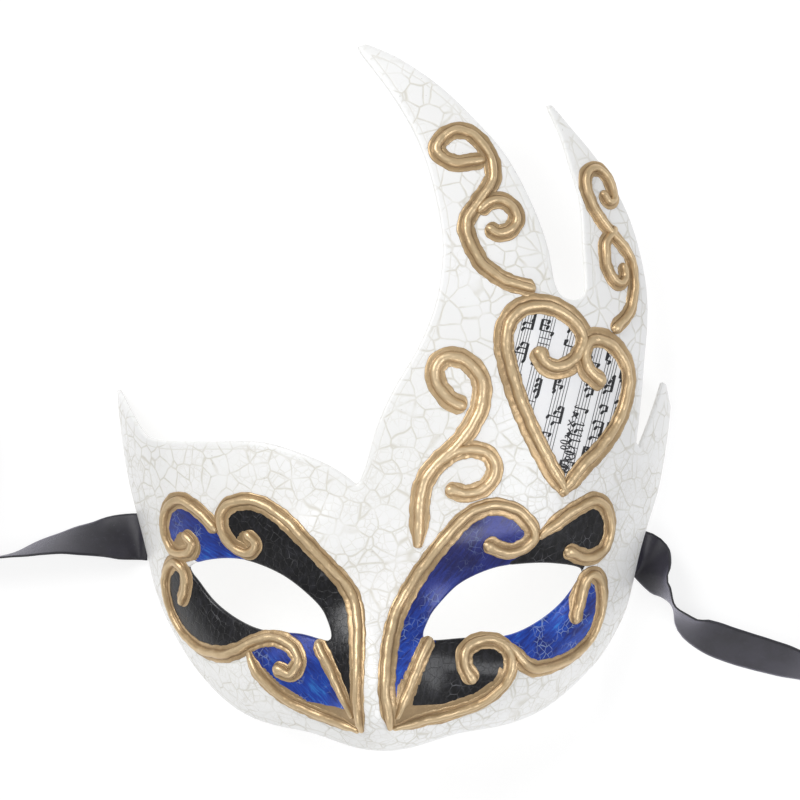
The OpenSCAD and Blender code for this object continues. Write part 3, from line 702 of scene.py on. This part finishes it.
def bead(name, path, width, ends, seed):
    """Painted relief line: a round ridge between two flat, uneven margins."""
    flat = flow(longer(path, *(END_PAST[form] for form in ends)), 0.5)
    x, y = thrown(flat)
    spots = np.stack([x, y, rise(x, y)], 1)
    run = unit(np.gradient(spots, axis=0))
    up = normal_at(x, y)
    across = unit(np.cross(run, up))
    s = lengths(spots)
    grow = 1 + 0.07 * ripple(s, 9, seed)
    round_ridge = np.ones_like(s)
    round_foot = np.ones_like(s)
    for form, far in zip(ends, (s, s[-1] - s)):
        ridge_end, foot_end = (0.9, 0.7) if form == "thin" else (2.0, 2.4)
        if form == "thin":
            round_ridge *= 0.65 + 0.35 * ease(far / 6)
            round_foot *= 0.45 + 0.55 * ease(far / 8)
        for size, profile in ((ridge_end, round_ridge), (foot_end, round_foot)):
            profile *= np.sqrt(np.clip(1 - (1 - np.minimum(far, size) / size) ** 2, 0.03, 1))
        if form == "bulb":
            grow = grow + 0.28 * np.exp(-((far - 1.7) / 1.9) ** 2)
    sway = RIDGE_ASIDE.get(name, 0.0) + 0.16 * ripple(s, 13, seed + 3)
    left = (MARGIN_SHARE * width + 0.2 * ripple(s, 6.5, seed + 1)) * round_foot
    right = (MARGIN_SHARE * width + 0.2 * ripple(s, 5.6, seed + 2)) * round_foot
    ridge_half = RIDGE_SHARE * width / 2 * grow * round_ridge
    ridge_high = BEAD_H * (0.94 + 0.06 * ripple(s, 6.5, seed + 4)) * round_ridge * grow ** 0.3
    margin = MARGIN_H + 0.07 * ripple(s, 3.4, seed + 7)
    # Section from left to right: offset, height, and share of the width
    columns = [(-left, 0 * s - 0.25, 0.0),
               (-left + 0.06, 0.6 * margin, 0.03),
               (-left * 0.8 - (ridge_half - sway) * 0.2, margin, 0.10),
               (-left * 0.2 - (ridge_half - sway) * 0.8, margin + 0.05, 0.22)]
    for k, angle in enumerate(np.linspace(math.pi, 0, RIDGE_SIDES + 1)):
        high = 0.2 + (ridge_high - 0.2) * math.sin(angle) ** 0.85
        columns.append((sway + ridge_half * math.cos(angle), high, 0.27 + 0.46 * k / RIDGE_SIDES))
    columns += [(right * 0.2 + (ridge_half + sway) * 0.8, margin + 0.05, 0.78),
                (right * 0.8 + (ridge_half + sway) * 0.2, margin, 0.90),
                (right - 0.06, 0.6 * margin, 0.97),
                (right, 0 * s - 0.25, 1.0)]
    offset = np.stack([c[0] for c in columns], 1)
    height = np.stack([c[1] for c in columns], 1)
    base = spots[:, None, :] + across[:, None, :] * offset[..., None]
    sections = raised(base[..., 0], base[..., 1], height)
    uv = np.stack([np.repeat(s * MM, len(columns)), np.tile([c[2] for c in columns], len(s))], 1)
    faces = [f[::-1] for f in tube(sections, closed_ring=False)]
    return add_piece(name + "_relief", sections.reshape(-1, 3), faces, [name], uv)


beads = {name: bead(name, path, width, ends, 20 + 7 * number)
         for number, (name, (width, *ends, path)) in enumerate(BEADS.items())}

# ---- sheet music printed on the paper ----

LEAN = math.radians(14)
STAVE_RUN = np.array([math.sin(LEAN), math.cos(LEAN)])
STAVE_SIDE = np.array([math.cos(LEAN), -math.sin(LEAN)])
# Middle and width of each stave, measured across the staves
STAVES = [(35.9, 3.4), (42.6, 3.7), (51.4, 3.9), (59.2, 3.8), (65.1, 3.4), (70.2, 2.6)]
STAVE_ENDS = (-42, 46)
NOTE_STEP = 1.75
NOTE_SIZE = 0.8
LINE_W = 0.19
BAR_W = 0.26
STEM_W = 0.4
BEAM_W = 0.9
CROSS_ARM = 0.9
ink_points = []
ink_faces = []


def stroke(points, width):
    """Inked line through drawing points, cut off where it leaves the heart."""
    p = np.array(points, float)
    run = unit(np.gradient(p, axis=0))
    half = np.asarray(width) / 2 * np.ones(len(p))
    aside = np.stack([-run[:, 1], run[:, 0]], 1) * half[:, None]
    keep = inside(p, heart)[0] > 1.2
    start = sum(len(q) for q in ink_points)
    ink_points.append(np.stack([p + aside, p - aside], 1).reshape(-1, 2))
    for i in range(len(p) - 1):
        if keep[i] and keep[i + 1]:
            a = start + 2 * i
            ink_faces.append([a, a + 1, a + 3, a + 2])


def place(along, across):
    return STAVE_RUN * along + STAVE_SIDE * across


def head(centre, size):
    """Filled, slanted note head."""
    start = sum(len(q) for q in ink_points)
    around = np.linspace(0, 2 * math.pi, 15)[:-1]
    ring = [centre + place(size * math.cos(a), size * 0.72 * math.sin(a + 0.5)) for a in around]
    if inside(np.array([centre]), heart)[0][0] < 1.8:
        return
    ink_points.append(np.array(ring))
    ink_faces.append([start + k for k in range(14)])


rng = np.random.default_rng(41)
for middle, width in STAVES:
    gap = width / 4
    for k in range(5):
        across = middle - width / 2 + k * gap
        stroke([place(a, across) for a in np.arange(*STAVE_ENDS, 1.0)], LINE_W)
    here = -36.0 + rng.uniform(0, 4)
    while here < 40:
        kind = rng.integers(0, 5)
        if kind == 0:
            stroke([place(here, middle + t * width / 2) for t in np.linspace(-1, 1, 5)], BAR_W)
            here += 1.8
            continue
        notes = int(rng.integers(2, 5))
        rows = rng.integers(0, 5, notes)
        tip = middle + width * (0.56 if rng.random() < 0.5 else -0.56)
        spots = [here + NOTE_STEP * k for k in range(notes)]
        for spot, row in zip(spots, rows):
            across = middle - width / 2 + row * gap
            head(place(spot, across), NOTE_SIZE)
            stroke([place(spot + 0.5, c) for c in np.linspace(across, tip, 6)], STEM_W)
        if kind in (1, 2, 3):
            beam = np.linspace(spots[0] + 0.4, spots[-1] + 0.55, 8)
            stroke([place(a, tip) for a in beam], BEAM_W)
        else:
            flag = np.linspace(0, 1, 6)
            drop = math.copysign(1.2, tip - middle)
            for spot in spots:
                stroke([place(spot + 0.48 + 1.1 * t, tip - drop * t * t) for t in flag],
                       STEM_W * (1.1 - flag))
        here = spots[-1] + rng.uniform(2.6, 5.5)
# Looped flourishes and small crosses towards the lower end of the heart
for across, along in ((57.8, 8.3), (57.1, 5.5), (57.5, 2.8)):
    for way in (-1, 1):
        arm = np.linspace(-CROSS_ARM, CROSS_ARM, 5)
        stroke([place(along + t, across + way * t) for t in arm], 0.36)
for middle, along in ((57.0, -1.2), (59.2, -4.2), (58.4, -8.6)):
    t = np.linspace(0, 1, 40)
    turn = 2.6 * 2 * math.pi * t
    radius = 0.5 + 1.25 * np.sin(math.pi * t)
    stroke([place(along + 2.2 * (a - 0.5) * 2 + 0.9 * math.sin(b), middle + r * math.cos(b))
            for a, b, r in zip(t, turn, radius)], 0.2 + 0.26 * np.abs(np.sin(turn)))
ink_flat = np.concatenate(ink_points)
ink_used = sorted({v for f in ink_faces for v in f})
renumber = {v: k for k, v in enumerate(ink_used)}
ink_faces = [[renumber[v] for v in f] for f in ink_faces]
ink_space = raised(*thrown(ink_flat[ink_used]), np.full(len(ink_used), INK_LIFT))
ink = add_piece("printed_notes", ink_space, ink_faces)

# ---- glued ends of the ribbons, inside the temples ----


def glued(name, hand, y):
    """Flat end of a ribbon on the inner wall of a temple; hand is -1 left, 1 right."""
    reach = float(foot(np.array([FOOT_R[5]]), np.array([y]))[0])
    turn = math.asin((y - FACE_Y) / reach)
    out = np.array([math.cos(turn), math.sin(turn)])
    aside = np.array([-math.sin(turn), math.cos(turn)])
    shares = np.linspace(GLUE_FROM, GLUE_TO, 26)
    lanes = np.linspace(-1, 1, 13)
    sections = []
    for q in shares:
        edge = [(k, 0.0) for k in lanes] + [(k, 1.0) for k in lanes[::-1]]
        spot = np.array([out * q * reach + aside * k * RIBBON_W / 2 for k, _ in edge])
        spot[:, 1] += FACE_Y
        depth = np.array([WALL - SUNK + d * (RIBBON_T + 0.1 - 0.12 * abs(k) ** 6)
                          for k, d in edge])
        section = raised(spot[:, 0], spot[:, 1], -depth)
        section[:, 0] *= hand
        sections.append(section)
    sections = np.array(sections)
    sections[..., 2] = np.maximum(sections[..., 2], 0.02)
    faces = tube(sections)
    if hand > 0:
        faces = [f[::-1] for f in faces]
    count = sections.shape[1]
    uv = np.stack([np.repeat((shares - GLUE_FROM) * reach * MM, count),
                   np.tile([k * 0.5 + 0.5 for k, _ in edge], len(shares))], 1)
    return add_piece(name + "_ribbon", sections.reshape(-1, 3), faces, [name], uv)


satin_pieces += [glued("glued_end_l", -1, TIE_Y[0]), glued("glued_end_r", 1, TIE_Y[1])]

# ---- materials ----


class Finish:
    """Node material with a Principled shader; add() makes a node and links its inputs."""

    def __init__(self, name, **constants):
        self.material = bpy.data.materials.new(name)
        self.material.use_nodes = True
        self.tree = self.material.node_tree
        self.shader = self.tree.nodes["Principled BSDF"]
        self.set(**constants)

    def add(self, kind, inputs=(), **settings):
        node = self.tree.nodes.new("ShaderNode" + kind)
        for key, value in settings.items():
            setattr(node, key, value)
        for key, value in dict(inputs).items():
            self.feed(node.inputs[key], value)
        return node

    def feed(self, socket, value):
        """Link an output to a socket, or set its constant; a colour may leave its alpha out."""
        if isinstance(value, bpy.types.NodeSocket):
            self.tree.links.new(value, socket)
        elif socket.type == "RGBA" and len(value) == 3:
            socket.default_value = (*value, 1)
        else:
            socket.default_value = value

    def place(self, kind="Object"):
        return self.add("TexCoord").outputs[kind]

    def math(self, operation, a, b=0.0):
        return self.add("Math", {0: a, 1: b}, operation=operation).outputs[0]

    def times(self, a, b):
        return self.math("MULTIPLY", a, b)

    def plus(self, a, b):
        return self.math("ADD", a, b)

    def span(self, value, low, high, to_low=0.0, to_high=1.0):
        """value from low..high taken smoothly to to_low..to_high."""
        node = self.add("MapRange", {"Value": value, "From Min": low, "From Max": high,
                                     "To Min": to_low, "To Max": to_high},
                        interpolation_type="SMOOTHSTEP")
        return node.outputs["Result"]

    def blend(self, share, a, b):
        return self.add("Mix", {0: share, 6: a, 7: b}, data_type="RGBA").outputs[2]

    def noise(self, vector, scale, detail=3.0, rough=0.5, output="Fac"):
        node = self.add("TexNoise", {"Vector": vector, "Scale": scale, "Detail": detail,
                                     "Roughness": rough})
        return node.outputs[output]

    def stretch(self, vector, scale, turn=0.0):
        """vector turned about Z, then scaled, so that a noise over it runs in streaks."""
        turned = self.add("Mapping", {"Vector": vector, "Rotation": (0.0, 0.0, turn)})
        node = self.add("Mapping", {"Vector": turned.outputs["Vector"], "Scale": scale})
        return node.outputs["Vector"]

    def shift(self, operation, inputs):
        return self.add("VectorMath", inputs, operation=operation).outputs[0]

    def warp(self, vector, scale, amount):
        """vector shifted by a smooth noise of the given reach."""
        cloud = self.noise(vector, scale, 2.0, output="Color")
        shift = self.shift("SUBTRACT", {0: cloud, 1: (0.5, 0.5, 0.5)})
        return self.shift("ADD", {0: vector, 1: self.shift("SCALE", {0: shift, "Scale": amount})})

    def cracks(self, vector, scale, width):
        """1 on the lines between cells, 0 inside them."""
        node = self.add("TexVoronoi", {"Vector": vector, "Scale": scale, "Randomness": 1.0},
                        feature="DISTANCE_TO_EDGE")
        return self.span(node.outputs["Distance"], 0.0, width, 1.0, 0.0)

    def set(self, **sockets):
        for key, value in sockets.items():
            self.feed(self.shader.inputs[key.replace("_", " ")], value)

    def done(self, colour, rough, height, strength, distance):
        """The material, with its colour, its roughness, and a bump from height."""
        bump = self.add("Bump", {"Height": height, "Strength": strength, "Distance": distance})
        self.set(Base_Color=colour, Roughness=rough, Normal=bump.outputs["Normal"])
        return self.material


def crackle_paint():
    """Off-white paint over a crackle ground: wide cells on the horns, fine ones lower down."""
    f = Finish("crackle_paint", Coat_Weight=0.35, Coat_Roughness=0.22, Specular_IOR_Level=0.5)
    spot = f.place()
    xyz = f.add("SeparateXYZ", {0: spot})
    wide_at = f.warp(spot, 90.0, 0.0035)
    fine_at = f.warp(spot, 190.0, 0.0016)
    wide = f.cracks(wide_at, 170.0, 0.07)
    fine = f.cracks(fine_at, 370.0, 0.085)
    hair = f.cracks(fine_at, 640.0, 0.12)
    patch = f.noise(spot, 55.0, 3.0)
    low_down = f.span(xyz.outputs["Y"], 0.035, -0.06)
    fine_share = f.times(f.span(f.plus(patch, f.times(low_down, 0.3)), 0.52, 0.74), 0.6)
    hair_share = f.times(f.span(f.noise(spot, 80.0, 2.0), 0.5, 0.66), f.times(low_down, 0.55))
    fade = f.span(f.noise(spot, 130.0, 3.0), 0.3, 0.6, 0.25, 1.0)
    lines = f.math("MAXIMUM", wide, f.times(fine, fine_share))
    lines = f.math("MAXIMUM", lines, f.times(hair, hair_share))
    away = f.add("Attribute", attribute_name="from_edge").outputs["Fac"]
    shown = f.times(f.times(lines, fade), f.span(away, 0.9, 1.9, 0.35, 1.0))
    # A soft groove about 3 mm inside the edge: sunk in the bump, with its shade painted darker
    # into the colour
    wavy = f.plus(away, f.times(f.noise(spot, 160.0, 2.0), 1.1))
    edge_groove_and_shade = f.times(f.span(wavy, 2.75, 3.0), f.span(wavy, 3.35, 3.1))
    shown = f.math("MAXIMUM", shown, f.times(edge_groove_and_shade, 0.55))
    cloud = f.span(f.noise(spot, 28.0, 4.0), 0.3, 0.7)
    paint = f.blend(cloud, (0.885, 0.885, 0.87), (0.93, 0.93, 0.925))
    colour = f.blend(f.times(shown, 0.68), paint, (0.60, 0.57, 0.48))
    specks = f.span(f.noise(spot, 900.0, 1.0), 0.76, 0.80)
    colour = f.blend(f.times(specks, 0.35), colour, (0.35, 0.33, 0.30))
    rough = f.plus(f.times(shown, 0.3), 0.34)
    relief = f.math("SUBTRACT", f.times(f.noise(spot, 260.0, 3.0), 0.35), shown)
    return f.done(colour, rough, relief, 0.35, 0.00025)


def bare_moulding():
    """Unpainted inside of the moulding: off-white, slightly uneven and dull."""
    f = Finish("bare_moulding", Specular_IOR_Level=0.35)
    spot = f.place()
    cloud = f.noise(spot, 35.0, 5.0, 0.6)
    fibre = f.noise(f.stretch(spot, (900.0, 260.0, 500.0), 0.6), 1.0, 4.0, 0.65)
    tone = f.blend(f.span(cloud, 0.3, 0.7), (0.70, 0.68, 0.62), (0.82, 0.805, 0.76))
    colour = f.blend(f.times(f.span(fibre, 0.45, 0.75), 0.35), tone, (0.58, 0.555, 0.49))
    rough = f.plus(f.times(fibre, 0.2), 0.62)
    return f.done(colour, rough, fibre, 0.5, 0.0002)


def old_gold(name, dark, mid, light, lined=True):
    """Brushed metallic gold paint; lined adds streaks along a relief line, a painted highlight on
    its ridge top, painted shade in the creases at the ridge foot and darker outer edges.
    """
    f = Finish(name, Metallic=0.55, Specular_IOR_Level=0.5, Coat_Weight=0.12, Coat_Roughness=0.3)
    spot = f.place()
    cloud = f.noise(spot, 150.0, 4.0, 0.6)
    grain = f.noise(spot, 1400.0, 3.0, 0.6)
    worn = f.span(cloud, 0.33, 0.68)
    colour = f.blend(worn, mid, tuple(0.8 * c for c in mid))
    if lined:
        along = f.place("UV")
        width = f.add("SeparateXYZ", {0: along}).outputs["Y"]
        off_middle = f.math("ABSOLUTE", f.math("SUBTRACT", width, 0.5))
        wander = f.times(f.math("SUBTRACT", f.noise(spot, 420.0, 3.0), 0.5), 0.10)
        place_over = f.plus(off_middle, wander)
        # Painted shade: darker in the creases at the foot of the ridge
        crease_shade = f.times(f.span(place_over, 0.17, 0.225), f.span(place_over, 0.30, 0.245))
        edge = f.span(place_over, 0.44, 0.5)
        # Painted highlight: lighter along the top of the ridge
        ridge_highlight = f.span(place_over, 0.16, 0.03)
        streak = f.noise(f.stretch(along, (110.0, 7.0, 1.0)), 1.0, 4.0, 0.6)
        colour = f.blend(f.times(f.span(streak, 0.45, 0.68), 0.4), colour, light)
        colour = f.blend(f.times(ridge_highlight, 0.6), colour, light)
        colour = f.blend(f.times(crease_shade, 0.5), colour, dark)
        colour = f.blend(f.times(edge, 0.6), colour, dark)
    flecks = f.span(grain, 0.58, 0.70)
    colour = f.blend(f.times(flecks, 0.3), colour, light)
    rough = f.plus(f.times(cloud, 0.28), 0.26)
    height = f.plus(f.times(grain, 0.3), f.noise(spot, 620.0, 3.0))
    return f.done(colour, rough, height, 0.5, 0.00025)


def pearl_blue(name, turn, high, low):
    """Streaky pearl lacquer, navy at height high on the face and bright blue at low."""
    f = Finish(name, Metallic=0.3, Coat_Weight=0.45, Coat_Roughness=0.22, Specular_IOR_Level=0.4)
    spot = f.place()
    run = f.stretch(f.warp(spot, 60.0, 0.003), (150.0, 1300.0, 400.0), turn)
    streak = f.noise(run, 1.0, 5.0, 0.62)
    cloud = f.noise(spot, 110.0, 4.0)
    mixed = f.plus(f.times(streak, 0.55), f.times(cloud, 0.55))
    level = f.add("SeparateXYZ", {0: spot}).outputs["Y"]
    bright = f.span(f.plus(level, f.times(f.math("SUBTRACT", cloud, 0.5), 0.03)), high, low)
    navy = f.blend(f.span(mixed, 0.42, 0.66), (0.012, 0.012, 0.085), (0.016, 0.026, 0.21))
    blue = f.blend(f.span(mixed, 0.42, 0.62), (0.008, 0.020, 0.19), (0.010, 0.065, 0.46))
    blue = f.blend(f.span(mixed, 0.60, 0.74), blue, (0.03, 0.22, 0.70))
    colour = f.blend(bright, navy, blue)
    fine = f.cracks(f.warp(spot, 210.0, 0.0012), 520.0, 0.08)
    patch = f.span(f.noise(spot, 150.0, 2.0), 0.50, 0.66, 0.0, 0.6)
    seen = f.times(fine, f.times(patch, f.span(bright, 0.2, 1.0, 0.3, 1.0)))
    colour = f.blend(seen, colour, (0.38, 0.50, 0.74))
    rough = f.plus(f.times(streak, 0.3), 0.22)
    height = f.plus(f.times(streak, 0.8), f.times(fine, -0.4))
    return f.done(colour, rough, height, 0.3, 0.00018)


def black_lacquer():
    """Glossy black with a rippled skin and a little pale crackle."""
    f = Finish("black_lacquer", Coat_Weight=0.35, Coat_Roughness=0.2, Specular_IOR_Level=0.3)
    spot = f.place()
    run = f.stretch(f.warp(spot, 150.0, 0.002), (850.0, 300.0, 400.0), 0.2)
    streak = f.noise(run, 1.0, 4.0, 0.6)
    colour = f.blend(f.span(streak, 0.42, 0.75), (0.005, 0.005, 0.006), (0.017, 0.017, 0.022))
    fine = f.cracks(f.warp(spot, 180.0, 0.0016), 360.0, 0.05)
    seen = f.times(fine, f.span(f.noise(spot, 120.0, 2.0), 0.56, 0.72, 0.0, 0.3))
    colour = f.blend(seen, colour, (0.30, 0.30, 0.33))
    rough = f.plus(f.times(streak, 0.3), 0.18)
    height = f.plus(f.times(streak, 1.2), f.times(fine, -0.4))
    return f.done(colour, rough, height, 0.45, 0.0004)


def stave_paper():
    f = Finish("stave_paper", Specular_IOR_Level=0.4, Coat_Weight=0.15, Coat_Roughness=0.35)
    spot = f.place()
    fibre = f.noise(spot, 1400.0, 4.0, 0.7)
    cloud = f.noise(spot, 90.0, 3.0)
    colour = f.blend(f.span(cloud, 0.3, 0.7), (0.86, 0.865, 0.885), (0.90, 0.90, 0.905))
    colour = f.blend(f.times(f.span(fibre, 0.5, 0.8), 0.2), colour, (0.74, 0.73, 0.72))
    rough = f.plus(f.times(fibre, 0.2), 0.45)
    return f.done(colour, rough, fibre, 0.2, 0.0001)


def printing_ink():
    f = Finish("printing_ink", Specular_IOR_Level=0.4)
    spot = f.place()
    wear = f.noise(spot, 2200.0, 3.0, 0.7)
    colour = f.blend(f.span(wear, 0.5, 0.8), (0.012, 0.012, 0.014), (0.10, 0.10, 0.11))
    f.set(Base_Color=colour, Roughness=f.plus(f.times(wear, 0.2), 0.4))
    return f.material


def black_satin():
    """Satin ribbon: long warp floats, tight selvedges and a soft sheen."""
    f = Finish("black_satin", Sheen_Weight=0.55, Sheen_Roughness=0.4, Anisotropic=0.5,
               Specular_IOR_Level=0.5, Sheen_Tint=(0.62, 0.60, 0.78))
    parts = f.add("SeparateXYZ", {0: f.place("UV")})
    along = f.times(parts.outputs["X"], 1000.0)
    over = f.times(parts.outputs["Y"], 15.0)
    warp_wave = f.math("SINE", f.times(over, 2 * math.pi / 0.24))
    weft_wave = f.math("SINE", f.plus(f.times(along, 2 * math.pi / 0.33),
                                      f.times(over, 2 * math.pi / 0.6)))
    weave = f.plus(f.times(warp_wave, 0.7), f.times(weft_wave, 0.4))
    off_middle = f.math("ABSOLUTE", f.math("SUBTRACT", parts.outputs["Y"], 0.5))
    selvedge = f.span(off_middle, 0.455, 0.468)
    spot = f.place()
    sheen_specks = f.noise(spot, 1100.0, 4.0, 0.7)
    cloud = f.noise(spot, 95.0, 3.0)
    colour = f.blend(f.span(cloud, 0.3, 0.7), (0.013, 0.012, 0.017), (0.030, 0.028, 0.040))
    # Pale purple specks in the colour are a painted sheen; the same noise varies the roughness
    colour = f.blend(f.times(f.span(sheen_specks, 0.55, 0.8), 0.45), colour, (0.10, 0.095, 0.125))
    colour = f.blend(f.times(selvedge, 0.6), colour, (0.010, 0.010, 0.013))
    rough = f.plus(f.times(sheen_specks, 0.25), 0.3)
    height = f.plus(f.times(weave, 0.4), f.times(selvedge, 1.5))
    return f.done(colour, rough, height, 0.35, 0.00008)


def dress(obj, *materials):
    obj.data.materials.clear()
    for material in materials:
        obj.data.materials.append(material)


dress(shell, crackle_paint(), bare_moulding())
shell.data.polygons.foreach_set("material_index",
                                [0] * len(painted_faces) + [1] * len(inner_faces))
gold = old_gold("old_gold", (0.18, 0.105, 0.056), (0.54, 0.375, 0.20), (0.80, 0.62, 0.38))
pale_gold = old_gold("pale_gold", (0.33, 0.20, 0.10), (0.68, 0.485, 0.27), (0.88, 0.69, 0.44))
flat_gold = old_gold("flat_gold", (0.17, 0.10, 0.055), (0.45, 0.31, 0.165),
                     (0.68, 0.51, 0.30), lined=False)
for wash in washes:
    dress(wash, flat_gold)
for name, obj in beads.items():
    dress(obj, pale_gold if name in ("brow_scroll", "brow_curl") else gold)
black = black_lacquer()
film_finishes = {
    "blue_top_l": pearl_blue("pearl_blue_top_left", 0.5, -0.030, -0.052),
    "blue_low_l": pearl_blue("pearl_blue_low_left", 0.8, -0.060, -0.095),
    "blue_top_r": pearl_blue("pearl_blue_top_right", -0.9, -0.048, -0.082),
    "blue_low_r": pearl_blue("pearl_blue_low_right", -0.7, -0.030, -0.066),
    "paper": stave_paper(),
}
for name, obj in films.items():
    dress(obj, film_finishes.get(name, black))
dress(ink, printing_ink())
satin = black_satin()
for obj in satin_pieces:
    dress(obj, satin)

# ---- table and light ----

TABLE = 3.0
TABLE_GAP = 0.0002

table_mesh = bpy.data.meshes.new("table")
table_mesh.from_pydata([(-TABLE, -TABLE, 0), (TABLE, -TABLE, 0), (TABLE, TABLE, 0),
                        (-TABLE, TABLE, 0)], [], [(0, 1, 2, 3)])
table = bpy.data.objects.new("table", table_mesh)
table.location.z = -TABLE_GAP
scene.collection.objects.link(table)
board = Finish("pale_table", Roughness=0.9, Specular_IOR_Level=0.1, Emission_Strength=0.78,
               Emission_Color=(1, 1, 1))
grain = board.noise(board.place(), 3.0, 2.0)
board.set(Base_Color=board.blend(grain, (0.26, 0.26, 0.26), (0.29, 0.29, 0.29)))
dress(table, board.material)

world = bpy.data.worlds.new("soft_light")
scene.world = world
world.use_nodes = True
sky = world.node_tree.nodes["Background"].inputs
sky["Color"].default_value = (1, 1, 1, 1)
sky["Strength"].default_value = 0.30


def lamp(name, place, size, energy, colour=(1, 1, 1)):
    """Square soft box aimed at the mask."""
    data = bpy.data.lights.new(name, "AREA")
    data.size = size
    data.energy = energy
    data.color = colour
    obj = bpy.data.objects.new(name, data)
    obj.location = place
    obj.rotation_euler = (Vector((0, 0, 0.02)) - obj.location).to_track_quat("-Z", "Y").to_euler()
    scene.collection.objects.link(obj)


lamp("key", (-0.75, 0.75, 1.15), 0.8, 15.0)
lamp("fill", (1.0, -0.3, 1.0), 0.8, 7.5, (0.96, 0.97, 1.0))
lamp("front", (-0.2, -1.1, 0.8), 0.6, 3.5)

scene.view_settings.view_transform = "Standard"
